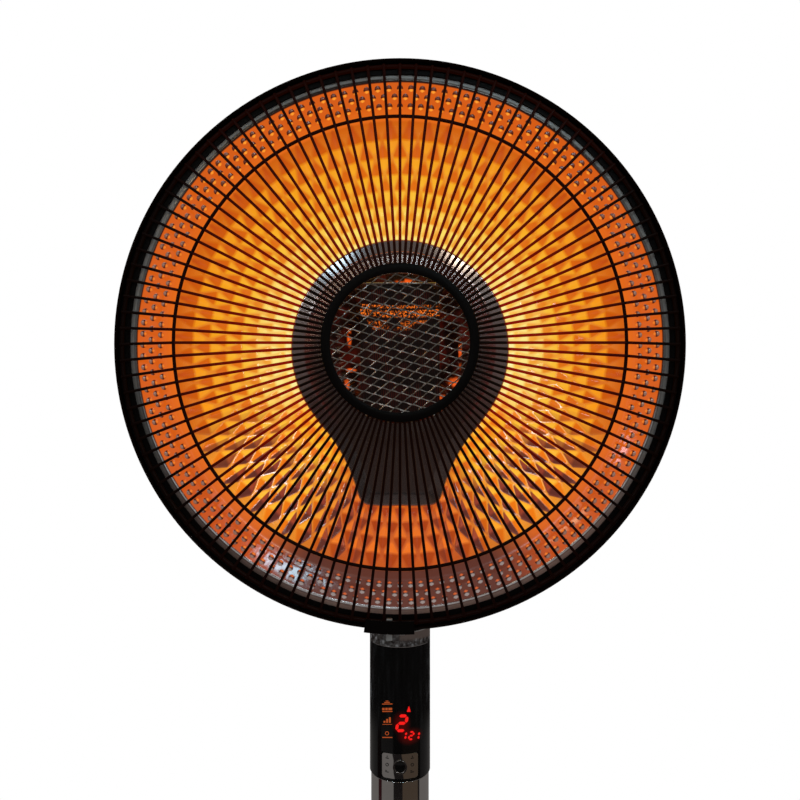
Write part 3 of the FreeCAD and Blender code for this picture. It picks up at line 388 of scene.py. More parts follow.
def dish_finish():
    # Pressed aluminium, bare at its lip and back, with the orange light of the lamps painted on as a glow
    # where they light it
    finish = Finish("embossed_aluminium")
    around, radius, down = finish.head_place()
    beside = finish.part_of(around, "X").size() / radius
    lit = finish.mark("lamp_light")
    front = finish.mark("front_side")
    open_part = finish.spread(radius, *HOLLOW_EDGE)
    glow = bowl_glow(finish, radius, down, beside, lit)
    band = band_glow(finish, radius, down, lit)
    glow = finish.mix(finish.spread(radius, *BAND_EDGE), glow, band)
    glow = finish.mix(open_part, middle_glow(finish), glow)
    lip = finish.spread(radius, *LIP_EDGE)
    bare = (1 - front + lip).clamped()
    glow = finish.mix(bare, glow, BLACK)
    fold = finish.zone(radius, *FOLD)
    matt = finish.spread(radius, *MATT_EDGE)
    base = finish.mix(matt, (0.13, 0.12, 0.118, 1), (0.085, 0.08, 0.08, 1))
    base = finish.mix(open_part, (0.03, 0.026, 0.024, 1), base)
    base = finish.mix(fold, base, (0.03, 0.028, 0.028, 1))
    base = finish.mix(lip, base, lip_tone(finish, around, radius, down))
    edge = finish.zone(radius, *LIP_HIGHLIGHT_LINE)
    # Painted highlight: the line along the lip is near white only towards the bottom, where it catches the
    # lamps
    base = finish.mix(edge * finish.spread(down, 0.1, 0.5), base, (0.98, 0.98, 0.98, 1))
    base = finish.mix(1 - front, base, (0.42, 0.41, 0.40, 1))
    grain = finish.noise(260.0, 3.0)
    ripple = finish.noise(55.0, 1.0)
    dull = fold * 0.4 + finish.spread(radius, *LIP_DULL) * 0.25
    return finish.surface(
        Base_Color=base, Metallic=1 - bare * 0.5, Roughness=0.05 + grain * 0.10 + dull,
        Emission_Color=glow, Emission_Strength=1.0,
        Normal=finish.bump(grain + ripple * 6.0, 0.08, 0.0006),
    )


# The wires' painted red glow by shares of the hoop's radius
WIRE_STAGES = (0.40, 0.55, 0.70, 0.85, 0.90)
WIRE_TONES = ((132, 16, 0), (104, 10, 0), (62, 5, 0), (30, 2, 0), (6, 1, 0))
# How low the shield's painted shade on the wires lies, its edge, and the middle ring, whose painted glow is
# dimmer, in metres
SHADE_DROP = 0.0043
SHADE_EDGE = (0.0725, 0.0755)
MIDDLE_RING = (0.1530, 0.1536, 0.1564, 0.1570)


def guard_finish():
    # Black enamel of the wires, with the glow behind them painted on as a red light, but not in front of
    # the shield
    finish = Finish("guard_enamel")
    _, radius, down = finish.head_place()
    fine = finish.noise(900.0)
    shadow = finish.length(finish.shifted(HEAD_CENTRE - Vector((0, 0, SHADE_DROP)), (1, 0, 1)))
    glow = finish.toned(radius / (HOOP_RADIUS * MM), WIRE_STAGES, WIRE_TONES)
    glow = finish.mix(finish.spread(shadow, *SHADE_EDGE), screen_colour(6, 1, 0), glow)
    glow = finish.mix(finish.zone(radius, *MIDDLE_RING), glow, screen_colour(16, 1, 0))
    # Painted glow dimmer on the upper wires
    glow = finish.mix(finish.spread(down * -1.0, 0.5, 0.8) * 0.48, glow, screen_colour(30, 3, 0))
    # Painted shade on the lower wires, which the shield's foot shades from the lamps
    glow = finish.mix(finish.spread(down, 0.56, 0.80), glow, screen_colour(10, 1, 0))
    return finish.surface(
        Base_Color=(0.0020, 0.0012, 0.0010, 1), Roughness=0.36 + fine * 0.1, Specular_IOR_Level=0.05,
        Emission_Color=glow, Emission_Strength=1.0, Normal=finish.bump(fine, 0.06),
    )


# How the rows of painted glints on the gauze rise towards the sides, as a share of the squared distance
GLINT_CURVE = 1.6
# Height of the gauze's upper edge, and its rows of painted glints by their drop below it, in metres
GAUZE_TOP = 0.6635
GLINT_ROWS = (
    (-0.0005, 0.0005, 0.0019, 0.0026), (0.0034, 0.0042, 0.0085, 0.0098), (0.0115, 0.0125, 0.0175, 0.0195),
)


def gauze_finish():
    # Dark woven wire with two rows of painted glints of the lamps' light below its upper edge, a fainter
    # one under them and a faint painted red glow along its ribs
    finish = Finish("gauze_painted_glints")
    across = finish.shifted(Vector((0, 0, GAUZE_TOP)))
    side = finish.part_of(across, "X")
    drop = finish.part_of(across, "Z") * -1.0 + side * side * GLINT_CURVE
    glint_noise = finish.noise(780.0, 1.0)
    clumps = finish.noise(85.0, 2.0)
    upper, second, lower = [finish.zone(drop, *row) for row in GLINT_ROWS]
    rows = upper + second
    # Painted glints of the lamps' light in rows on the gauze
    hot = rows * finish.spread(glint_noise, 0.46, 0.66) * finish.spread(clumps, 0.25, 0.45)
    warm = lower * finish.spread(clumps, 0.52, 0.6) * finish.spread(glint_noise, 0.45, 0.66)
    ribs = finish.node(
        "ShaderNodeTexWave", {"wave_type": "BANDS", "bands_direction": "X"},
        {"Vector": finish.place(), "Scale": 210.0, "Distortion": 1.2, "Detail": 2.0, "Detail Scale": 3.0},
        "Fac",
    )
    # Faint painted red glow along the ribs
    faint = finish.spread(ribs, 0.72, 0.98) * finish.spread(clumps, 0.4, 0.7) * 0.4
    glow = finish.mix(faint, screen_colour(9, 4, 3), screen_colour(96, 24, 12))
    glow = finish.mix((hot + warm * 0.7).clamped(), glow, screen_colour(255, 120, 30))
    return finish.surface(
        Base_Color=(0.006, 0.005, 0.0045, 1), Roughness=0.6, Specular_IOR_Level=0.1,
        Emission_Color=glow, Emission_Strength=1.0, Normal=finish.bump(glint_noise, 0.4, 0.0005),
    )


def shield_finish():
    # Bright rolled steel, slightly clouded
    finish = Finish("rolled_steel")
    cloud = finish.noise(18.0, 2.0)
    tone = finish.mix(cloud, (0.42, 0.375, 0.37, 1), (0.50, 0.445, 0.43, 1))
    return finish.surface(Base_Color=tone, Roughness=0.18 + cloud * 0.05, Metallic=1.0)


def mesh_finish():
    # Cut edges of expanded steel, with its base painted brighter and glossier in spots so that they glint
    finish = Finish("mesh_steel")
    fine = finish.noise(500.0)
    # Spots where the base is painted brighter and glossier, for painted glints
    glint_spots = finish.spread(finish.noise(190.0, 1.0), 0.52, 0.66)
    tone = finish.mix(glint_spots, (0.20, 0.20, 0.19, 1), (0.80, 0.82, 0.82, 1))
    return finish.surface(
        Base_Color=tone, Roughness=0.34 - glint_spots * 0.14 + fine * 0.06, Metallic=1.0,
        Normal=finish.bump(fine, 0.4),
    )


def glowing(name, colour, strength=1.0):
    # Lit print or hot carbon, slightly speckled
    finish = Finish(name)
    speckle = finish.noise(800.0)
    glow = finish.mix(speckle, [c * 0.85 for c in colour[:3]] + [1], colour)
    return finish.surface(
        Base_Color=(0.01, 0.01, 0.01, 1), Roughness=0.5, Emission_Color=glow, Emission_Strength=strength,
    )


# Lit digits on the sleeve: middle across and up, and how far their painted halo of light reaches across and
# up
DIGIT_HALOS = ((1.0, 352.6, 8.0, 10.5), (7.4, 342.6, 11.0, 7.5))


def sleeve_finish():
    # Black gloss plastic with a faint painted red halo of the digits' light round them on its front
    finish = Finish("sleeve_gloss")
    fine = finish.noise(1500.0)
    halo = 0.0
    for place in DIGIT_HALOS:
        halo = halo + finish.spot(*place, 0.15)
    ahead = finish.spread(finish.part_of(finish.place(), "Y") * -1.0, 0.004, 0.012)
    glow = finish.mix((halo * ahead * 0.8).clamped(), BLACK, screen_colour(74, 4, 3))
    return finish.surface(
        Base_Color=(0.0024, 0.0021, 0.0020, 1), Roughness=0.08 + fine * 0.05, Specular_IOR_Level=0.34,
        Emission_Color=glow, Emission_Strength=1.0, Normal=finish.bump(fine, 0.012),
    )


def quartz_finish():
    # Clear tube with a little haze
    finish = Finish("clear_quartz")
    haze = finish.noise(120.0)
    return finish.surface(
        Base_Color=(1.0, 0.95, 0.9, 1), Roughness=0.02 + haze * 0.08, IOR=1.46, Transmission_Weight=1.0,
    )


def board_finish():
    # Green lacquered board with paler tracks
    finish = Finish("lacquered_board")
    tracks = finish.node("ShaderNodeTexBrick", None, {"Vector": finish.place(), "Scale": 160.0}, "Fac")
    tone = finish.mix(tracks, (0.012, 0.075, 0.03, 1), (0.03, 0.14, 0.06, 1))
    return finish.surface(Base_Color=tone, Roughness=0.35 + finish.noise(300.0) * 0.1)


finishes = {
    "black_enamel": speckled(
        "black_enamel", (0.0020, 0.0012, 0.0010), 0.38, bump=0.06, Specular_IOR_Level=0.06,
    ),
    "reflector_aluminium": dish_finish(),
    "guard_enamel": guard_finish(),
    "shield_steel": shield_finish(),
    "mesh_steel": mesh_finish(),
    "gauze_steel": gauze_finish(),
    "bright_steel": brushed("zinc_steel", (0.55, 0.55, 0.54), 0.30, 2),
    "white_ceramic": speckled("fired_ceramic", (0.022, 0.015, 0.012), 0.62, grain=600.0, bump=0.12),
    "quartz": quartz_finish(),
    "glowing_carbon": glowing("glowing_carbon", screen_colour(255, 150, 50), 2.0),
    "black_gloss_plastic": speckled(
        "black_gloss_plastic", (0.0028, 0.0024, 0.0022), 0.10, grain=1500.0, bump=0.012,
        Specular_IOR_Level=0.36,
    ),
    "black_matte_plastic": speckled(
        "black_matte_plastic", (0.0045, 0.0040, 0.0038), 0.55, grain=1100.0, bump=0.12,
        Specular_IOR_Level=0.15,
    ),
    "chrome": speckled("bright_chrome", (0.60, 0.58, 0.56), 0.06, 1.0, 0.06, 1400.0, 0.01),
    "rubber": speckled("black_rubber", (0.016, 0.016, 0.016), 0.75, grain=800.0, bump=0.2),
    "nylon": speckled("natural_nylon", (0.66, 0.64, 0.58), 0.45, grain=500.0, bump=0.05),
    "cast_iron": speckled("cast_iron", (0.07, 0.07, 0.07), 0.62, 0.6, 0.25, 350.0, 0.35),
    "circuit_board": board_finish(),
    "cable_sheath": speckled("cable_sheath", (0.035, 0.034, 0.033), 0.5, grain=700.0, bump=0.1),
}
slot_of = {row["node"]: row["material_slot"] for row in frame["record"]["subparts"]}
body_of = {name: body for body, names in frame["record"]["behaviour"]["bodies"].items() for name in names}
for name, piece in nodes.items():
    piece.data.materials.clear()
    piece.data.materials.append(finishes["guard_enamel" if name == "guard_basket" else slot_of[name]])


def start():
    # Nothing selected, in object mode
    if bpy.context.object and bpy.context.object.mode != "OBJECT":
        bpy.ops.object.mode_set(mode="OBJECT")
    bpy.ops.object.select_all(action="DESELECT")


def named(name):
    # Gives the active piece its name and applies its place and turn
    piece = bpy.context.object
    piece.name = name
    piece.data.name = name
    bpy.ops.object.transform_apply(location=True, rotation=True, scale=True)
    return piece


def pick(piece):
    # One piece selected and active
    start()
    piece.select_set(True)
    bpy.context.view_layer.objects.active = piece


@contextmanager
def editing(piece, points=None):
    # Edit mode with the whole piece selected, or some of its points alone
    pick(piece)
    bpy.ops.object.mode_set(mode="EDIT")
    bpy.ops.mesh.select_all(action="SELECT" if points is None else "DESELECT")
    if points is not None:
        bpy.ops.object.mode_set(mode="OBJECT")
        for index in points:
            piece.data.vertices[index].select = True
        bpy.ops.object.mode_set(mode="EDIT")
        bpy.ops.mesh.select_mode(type="VERT")
    yield
    bpy.ops.object.mode_set(mode="OBJECT")


def clean(piece, outwards=True):
    # Merges doubled points and turns the faces outwards
    with editing(piece):
        bpy.ops.mesh.remove_doubles(threshold=MERGE_DISTANCE)
        if outwards:
            bpy.ops.mesh.normals_make_consistent(inside=False)


def faced_front(piece):
    # Turns the faces over where they point backwards
    if sum(polygon.normal.y for polygon in piece.data.polygons) > 0:
        with editing(piece):
            bpy.ops.mesh.flip_normals()


def modifier(piece, kind, **settings):
    # Adds a modifier and applies it
    pick(piece)
    made = piece.modifiers.new(kind.lower(), kind)
    for name, value in settings.items():
        setattr(made, name, value)
    bpy.ops.object.modifier_apply(modifier=made.name)


def rounded(piece, width, segments=2, angle=30.0):
    # Rounds off the edges that bend by more than an angle
    modifier(
        piece, "BEVEL", width=width * MM, segments=segments, limit_method="ANGLE",
        angle_limit=math.radians(angle),
    )


def smooth(piece, angle=35.0, flat_faces=False):
    # Smooth shading up to an angle, with broad faces kept flat if asked
    pick(piece)
    bpy.ops.object.shade_smooth_by_angle(angle=math.radians(angle))
    if flat_faces:
        modifier(piece, "WEIGHTED_NORMAL", keep_sharp=True, weight=80)


def finished(piece, body, slot, *replaced, finish=None):
    # Gives a piece its finish, its body and the solids that it stands for
    piece.data.materials.clear()
    piece.data.materials.append(finish or finishes[slot])
    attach(piece, body)
    if replaced:
        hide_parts(*replaced)
    return piece


def polyline(name, points):
    # One point drawn out along a line, point by point
    start()
    bpy.ops.mesh.primitive_plane_add(size=0.002, location=points[0])
    piece = named(name)
    with editing(piece):
        bpy.ops.mesh.merge(type="CENTER")
        for here, there in zip(points, points[1:]):
            bpy.ops.mesh.extrude_vertices_move(TRANSFORM_OT_translate={"value": there - here})
    return piece


def turned(name, profile, steps, centre, axis):
    # Closed profile spun round an axis
    piece = polyline(name, profile + profile[:1])
    with editing(piece):
        bpy.ops.mesh.remove_doubles(threshold=MERGE_DISTANCE)
        bpy.ops.mesh.spin(steps=steps, angle=FULL_TURN, center=centre, axis=axis)
    clean(piece)
    return piece


def head_turned(name, profile, steps):
    # Profile of radius and depth spun round the head's axis
    points = [head_point(radius, 0, depth) for radius, depth in profile]
    return turned(name, points, steps, HEAD_CENTRE, HEAD_AXIS)


def copied_round(piece, count):
    # Copies of a shape all round the head
    with editing(piece):
        bpy.ops.mesh.spin(
            steps=count, angle=FULL_TURN, center=HEAD_CENTRE, axis=HEAD_AXIS, dupli=True,
        )


# Faces that meet at less than this angle lie in one plane
FLAT_ANGLE = math.radians(0.6)


def shaped_copy(node, width, finish=None):
    # Copy of a solid with its edges rounded off
    piece = bpy.data.objects.new(node + "_shown", nodes[node].data.copy())
    bpy.context.scene.collection.objects.link(piece)
    clean(piece, outwards=False)
    with editing(piece):
        bpy.ops.mesh.dissolve_limited(angle_limit=FLAT_ANGLE)
    rounded(piece, width)
    smooth(piece, flat_faces=True)
    return finished(piece, body_of[node], slot_of[node], node, finish=finish)


def joined(pieces, name):
    # Several pieces made one
    pick(pieces[0])
    for piece in pieces[1:]:
        piece.select_set(True)
    if len(pieces) > 1:
        bpy.ops.object.join()
    pieces[0].name = name
    pieces[0].data.name = name
    return pieces[0]


# Section of the hoop, with the ledge that holds the dish's lip: radius and depth
HOOP_SECTION = [
    (200.0, 1.3), (200.0, 18.6), (199.7, 19.6), (199.1, 20.0), (198.6, 19.6), (198.5, 18.8),
    (198.5, 7.5), (190.7, 7.5), (190.5, 6.8), (190.7, 6.0), (196.6, 6.0), (197.9, 5.4),
    (198.4, 4.2), (198.4, 1.3), (198.7, 0.4), (199.2, 0.0), (199.7, 0.4),
]


def hoop():
    # Rolled hoop round the head
    piece = head_turned("hoop", HOOP_SECTION, 192)
    smooth(piece)
    return finished(piece, "head", "black_enamel", "rim_hoop")


# Rings of the dish's embossing, from its band inwards, its row beside the fold, and its sheet
DIAMONDS = 72
DIAMOND_STEP = 10.35
DIAMOND_RINGS = 12
FIRST_RING = 163.5
DIAMOND_RISE = 2.0
FOLD_ROW = (2.2, 1.1)
SHEET_THICKNESS = 0.9
# Leaning that counts as fully lit or shaded, and the plain ring between bowl and band
LEAN_RANGE = math.radians(17.0)
DIMPLE_LEAN_RANGE = math.radians(70.0)
FOOT_RANGE = 0.6
PLAIN_RING = (163.3, 168.6)


def dish_sheet():
    # One sector of the dish's face, embossed with diamonds, copied all round
    rows = [(DISH_RIM, LIP_DEPTH), (DISH_MOUTH, LIP_DEPTH)]
    rows.append((DISH_BAND + FOLD_ROW[0], BAND_DEPTH - FOLD_ROW[1]))
    for ring in range(DIAMOND_RINGS):
        radius = FIRST_RING - DIAMOND_STEP * ring
        rows.append((radius, bowl_depth(radius)))
    rows += [(LAND_RADIUS, LAND_DEPTH), (STEM_HOLE, LAND_DEPTH)]
    half_cell = math.pi / DIAMONDS
    piece = polyline("dish", [head_point(radius, 0, depth) for radius, depth in rows])
    with editing(piece):
        bpy.ops.mesh.spin(steps=2, angle=2 * half_cell, center=HEAD_CENTRE, axis=HEAD_AXIS)
    peaks = set()
    for vertex in piece.data.vertices:
        flat = vertex.co - HEAD_CENTRE
        radius = math.hypot(flat.x, flat.z) / MM
        ring = round((FIRST_RING - radius) / DIAMOND_STEP)
        column = round(abs(math.atan2(flat.z, flat.x)) / half_cell)
        on_ring = abs(FIRST_RING - DIAMOND_STEP * ring - radius) < 0.05 and 0 < ring < DIAMOND_RINGS
        if on_ring and (ring + column) % 2 == 0:
            lean = radius / BOWL_RADIUS
            inward = Vector((-flat.x, 0, -flat.z)).normalized() * lean
            normal = inward + Vector((0, -math.sqrt(1 - lean**2), 0))
            vertex.co += normal * DIAMOND_RISE * MM
            peaks.add(vertex.index)
    split_cells(piece, peaks)
    copied_round(piece, DIAMONDS)
    clean(piece)
    return piece


def split_cells(piece, peaks):
    # Divides each four-cornered cell along the valley beside its peak
    valleys = []
    for polygon in piece.data.polygons:
        corners = list(polygon.vertices)
        raised = [place for place, vertex in enumerate(corners) if vertex in peaks]
        if raised and len(corners) == 4:
            valleys.append((corners[raised[0] - 1], corners[(raised[0] + 1) % 4]))
    for valley in valleys:
        with editing(piece, valley):
            bpy.ops.mesh.vert_connect()


# Rows of dimples by their radius and their shift in steps round the band, and one dimple's size
DIMPLE_ROWS = ((182.2, 0.0), (177.1, 0.5), (171.4, 0.0))
DIMPLES_PER_ROW = 144
DIMPLE_RADIUS = 2.7
DIMPLE_RISE = 1.2
DIMPLE_SINK = 0.08


def dimple(radius):
    # One low bump that rises from the band in a smooth flare
    start()
    bpy.ops.mesh.primitive_uv_sphere_add(segments=8, ring_count=8, radius=1.0)
    piece = bpy.context.object
    with editing(piece):
        bpy.ops.mesh.bisect(plane_co=(0, 0, 0), plane_no=(0, 0, 1), clear_inner=True)
    for vertex in piece.data.vertices:
        share = math.acos(min(1.0, max(0.0, vertex.co.z))) / (math.pi / 2)
        flat = Vector((vertex.co.x, vertex.co.y, 0)).normalized() * share * DIMPLE_RADIUS
        rise = DIMPLE_RISE * (1 + math.cos(math.pi * share)) / 2 - DIMPLE_SINK
        vertex.co = (flat + Vector((0, 0, rise))) * MM
    piece.rotation_euler = (math.pi / 2, 0, 0)
    bpy.ops.object.transform_apply(location=False, rotation=True, scale=False)
    piece.rotation_euler = (0, 0, -BAND_SLOPE)
    piece.location = head_point(radius, 0, LIP_DEPTH + (DISH_MOUTH - radius) * math.tan(BAND_SLOPE))
    return named("dimple")


def dish_dimples():
    # Small bumps in three staggered rows on the dish's band
    step = FULL_TURN / DIMPLES_PER_ROW
    domes = []
    for radius, offset in DIMPLE_ROWS:
        dome = dimple(radius)
        turn = Matrix.Translation(HEAD_CENTRE) @ Matrix.Rotation(offset * step, 4, HEAD_AXIS)
        dome.data.transform(turn @ Matrix.Translation(-HEAD_CENTRE))
        copied_round(dome, DIMPLES_PER_ROW)
        clean(dome, outwards=False)
        domes.append(dome)
    return domes


def face_values(mesh, name, width):
    # One value, or one row of values, for every face
    values = np.empty(len(mesh.polygons) * width, np.float32)
    mesh.polygons.foreach_get(name, values)
    return values.reshape(-1, width) if width > 1 else values


def mark_lamp_light(piece, sheet_faces):
    # How much more or less each point leans towards the lamps than the plain form does
    mesh = piece.data
    faces = len(mesh.polygons)
    normals = face_values(mesh, "normal", 3)
    areas = face_values(mesh, "area", 1)
    outward = face_values(mesh, "center", 3) - np.array(HEAD_CENTRE)
    outward[:, 1] = 0
    radius = np.linalg.norm(outward, axis=1)
    lean = np.arctan2(-(normals * outward).sum(1) / radius, -normals[:, 1])
    in_bowl = radius / (BOWL_RADIUS * MM)
    plain = np.arcsin(np.where(radius > DISH_BAND * MM, math.sin(BAND_SLOPE), in_bowl))
    domed = (np.arange(faces) >= sheet_faces).astype(np.float64)
    full_lean = np.where(domed > 0, DIMPLE_LEAN_RANGE, LEAN_RANGE)
    light = np.clip(0.5 + (lean - plain) / full_lean, 0, 1)
    light[(radius > PLAIN_RING[0] * MM) & (radius < PLAIN_RING[1] * MM) & (domed == 0)] = 0.5
    front = (normals[:, 1] < 0.05).astype(np.float64)
    to_foot = np.stack((outward[:, 2], np.zeros(faces), -outward[:, 0]), 1) / radius[:, None]
    to_foot *= np.sign(outward[:, 0])[:, None]
    foot_lean = np.clip(0.5 + (normals * to_foot).sum(1) / FOOT_RANGE, 0, 1)
    corners = np.empty(len(mesh.loops), np.int32)
    mesh.loops.foreach_get("vertex_index", corners)
    owners = np.repeat(np.arange(faces), [polygon.loop_total for polygon in mesh.polygons])
    shares = np.bincount(corners, areas[owners], len(mesh.vertices))
    marks = {"lamp_light": light, "front_side": front, "foot_lean": foot_lean, "dimple": domed}
    for name, values in marks.items():
        spread = np.bincount(corners, (areas * values)[owners], len(mesh.vertices)) / shares
        made = mesh.attributes.new(name, "FLOAT", "POINT")
        made.data.foreach_set("value", spread.astype(np.float32))


def dish():
    # Embossed reflector dish with its lip and its dimpled band
    sheet = dish_sheet()
    rounded(sheet, 1.3, 3, 6.0)
    modifier(sheet, "SOLIDIFY", thickness=SHEET_THICKNESS * MM, offset=-1.0)
    sheet_faces = len(sheet.data.polygons)
    piece = joined([sheet] + dish_dimples(), "dish")
    smooth(piece, 60.0)
    mark_lamp_light(piece, sheet_faces)
    return finished(piece, "head", "reflector_aluminium", "reflector_dish")


def hub_ring():
    # Flat ring in the middle of the guard
    profile = [(47.6, -15.2), (54.2, -15.2), (54.2, -14.0), (47.6, -14.0)]
    piece = head_turned("hub_ring", profile, 128)
    rounded(piece, 0.4, 2)
    smooth(piece)
    return finished(piece, "head", "black_enamel", "guard_hub_ring")


# Expanded mesh: its strands' spacing, section, kink and depth, and its two families' turn and tilt
MESH_RADIUS = 48.7
MESH_SPACING = 5.5
MESH_STRAND = (0.85, 0.35)
MESH_KINK = 0.13
MESH_DEPTH = -13.6
MESH_FAMILIES = ((-15.3, 32.0), (38.1, -32.0))


def strand(angle, tilt, other, offset):
    # One flat strand that bends towards the long way of the diamonds where it crosses the others
    half = math.sqrt(MESH_RADIUS**2 - offset**2)
    turn = math.radians(other - angle)
    pitch = MESH_SPACING / abs(math.sin(turn))
    steps = max(4, round(2 * half / pitch * 6))
    start()
    bpy.ops.mesh.primitive_grid_add(x_subdivisions=steps, y_subdivisions=1, size=1.0)
    piece = bpy.context.object
    along = Vector((math.cos(math.radians(angle)), 0, math.sin(math.radians(angle))))
    across = Vector((-along.z, 0, along.x))
    crossing = offset * math.cos(turn) / math.sin(turn)
    for vertex in piece.data.vertices:
        run = vertex.co.x * 2 * half
        side = vertex.co.y * MESH_STRAND[0]
        kink = MESH_KINK * math.sin(FULL_TURN * (run - crossing) / pitch) * (1 if turn > 0 else -1)
        reach = offset + kink + side * math.cos(math.radians(tilt))
        depth = MESH_DEPTH + side * math.sin(math.radians(tilt))
        vertex.co = head_point(0, 0, depth) + (along * run + across * reach) * MM
    return piece


def expanded_mesh():
    # Two families of flat strands, each tilted its own way, that cross in long diamonds
    strands = []
    rows = int(MESH_RADIUS / MESH_SPACING)
    for (angle, tilt), (other, _) in zip(MESH_FAMILIES, MESH_FAMILIES[::-1]):
        strands += [strand(angle, tilt, other, row * MESH_SPACING) for row in range(-rows, rows + 1)]
    piece = joined(strands, "expanded_mesh")
    modifier(piece, "SOLIDIFY", thickness=MESH_STRAND[1] * MM, offset=0.0)
    rounded(piece, 0.1, 1)
    smooth(piece, 40.0)
    return finished(piece, "head", "mesh_steel", "guard_mesh")


# The keyhole shield's outline, as the solid has it
SHIELD_RADIUS = 82.9
SHIELD_DROP = 119.5
SHIELD_SIDE = math.radians(52.0)
SHIELD_TURN = math.radians(20.0)
SHIELD_RUN = 16.2
SHIELD_CURVE = 128.0
SHIELD_CORNER = 9.5
# Steps round it, its border from the edge inwards by inset, depth and rise of its bead, and its window
SHIELD_STEPS = 360
SHIELD_BORDER = (
    (0.0, 54.0, 0.0), (0.0, 50.2, 0.0), (0.25, 49.6, 0.0), (0.8, 49.2, 0.0), (1.6, 48.95, 0.0),
    (9.0, 46.7, 0.0), (9.8, 46.45, 0.1), (10.3, 46.34, 0.5), (10.9, 46.25, 0.5), (11.5, 46.21, 0.1),
    (12.1, 46.2, 0.0), (12.6, 46.2, 0.0),
)
WINDOW_EDGE = ((57.6, 46.2), (57.0, 46.2), (57.0, 49.2))


def keyhole_half(inset):
    # Points down the right side of the keyhole, from its top to the middle of its foot
    points = []
    radius = SHIELD_RADIUS - inset
    end = SHIELD_SIDE + SHIELD_TURN
    for index in range(61):
        angle = math.pi - (math.pi - SHIELD_SIDE) * index / 60
        points.append((radius * math.sin(angle), radius * math.cos(angle)))
    normal = (math.sin(SHIELD_SIDE), math.cos(SHIELD_SIDE))
    along = (-math.cos(SHIELD_SIDE), math.sin(SHIELD_SIDE))
    reach = SHIELD_RADIUS + SHIELD_CURVE
    centre = [n * reach + a * SHIELD_RUN for n, a in zip(normal, along)]
    curve = SHIELD_CURVE + inset
    for index in range(13):
        angle = SHIELD_SIDE + SHIELD_TURN * index / 12
        points.append((centre[0] - math.sin(angle) * curve, centre[1] - math.cos(angle) * curve))
    corner = max(SHIELD_CORNER - inset, 1.5)
    foot = SHIELD_DROP - inset
    last = points[-1]
    run = (foot - corner * (1 - math.cos(end)) - last[1]) / math.sin(end)
    bend = (last[0] - math.cos(end) * run, last[1] + math.sin(end) * run)
    bend_centre = (bend[0] - math.sin(end) * corner, bend[1] - math.cos(end) * corner)
    for index in range(9):
        angle = end * (1 - index / 8)
        side = bend_centre[0] + math.sin(angle) * corner
        points.append((side, bend_centre[1] + math.cos(angle) * corner))
    points.append((0.0, foot))
    return points


def loop_at(angles, inset):
    # Outline of the keyhole as its distance from the head's axis at each angle from the top
    half = keyhole_half(inset)
    turns = [math.atan2(x, -y) for x, y in half]
    reach = [math.hypot(x, y) for x, y in half]
    folded = [min(a, FULL_TURN - a) for a in angles]
    return np.interp(folded, turns, reach)


def shield():
    # Keyhole plate lofted from loop to loop: wall, sloping border, bead along the top, face and window
    count = SHIELD_STEPS
    angles = [FULL_TURN * index / count for index in range(count)]
    beaded = np.clip(3.0 * np.cos(angles) - 0.6, 0, 1)
    loops = [(loop_at(angles, inset), depth - bead * beaded) for inset, depth, bead in SHIELD_BORDER]
    for radius, depth in WINDOW_EDGE:
        loops.append((np.full(count, radius), np.full(count, depth)))
    start()
    bpy.ops.mesh.primitive_circle_add(vertices=count, radius=0.05)
    piece = named("keyhole_shield")

    def shape_loop(reach, depth, first):
        for index in range(count):
            side = reach[index] * math.sin(angles[index])
            down = -reach[index] * math.cos(angles[index])
            piece.data.vertices[first + index].co = head_point(side, down, depth[index])

    shape_loop(*loops[0], 0)
    for number, (reach, depth) in enumerate(loops[1:], 1):
        with editing(piece, range((number - 1) * count, number * count)):
            bpy.ops.mesh.extrude_edges_move()
        shape_loop(reach, depth, number * count)
    clean(piece)
    faced_front(piece)
    modifier(piece, "SOLIDIFY", thickness=1.0 * MM, offset=-1.0)
    smooth(piece, 40.0)
    return finished(piece, "head", "shield_steel", "front_shield")


# The gauze's ribs, and in metres a rib's height, the gap in front, the room left and the lap at the top
GAUZE_RIBS = 30
GAUZE_RIB = 0.0003
GAUZE_GAP = 0.0006
GAUZE_ROOM = 0.0016
GAUZE_LAP = 0.004


def gauze_screen():
    # Ribbed gauze bent round the front of the lamps
    low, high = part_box("element_screen")
    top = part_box("upper_lamp_holder")[0].z + GAUZE_LAP
    start()
    bpy.ops.mesh.primitive_grid_add(x_subdivisions=122, y_subdivisions=4, size=1.0)
    piece = bpy.context.object
    piece.name = "gauze_screen"
    bow = high.y - low.y - GAUZE_ROOM
    for vertex in piece.data.vertices:
        share = vertex.co.x * 2
        rib = GAUZE_RIB * math.cos(share * math.pi * GAUZE_RIBS)
        vertex.co = Vector((
            vertex.co.x * (high.x - low.x), low.y + GAUZE_GAP + bow * share**2 - rib,
            low.z + (vertex.co.y + 0.5) * (top - low.z),
        ))
    clean(piece)
    modifier(piece, "SOLIDIFY", thickness=0.4 * MM, offset=0.0)
    smooth(piece, 60.0)
    return finished(piece, "head", "gauze_steel", "element_screen")


def on_sleeve(side, height, lift, droop):
    # Point on the round sleeve, in front of a place across and up
    reach = SLEEVE_RADIUS + lift
    back = reach - math.sqrt(reach**2 - side**2)
    return Vector((side, back - reach, height - back * droop)) * MM


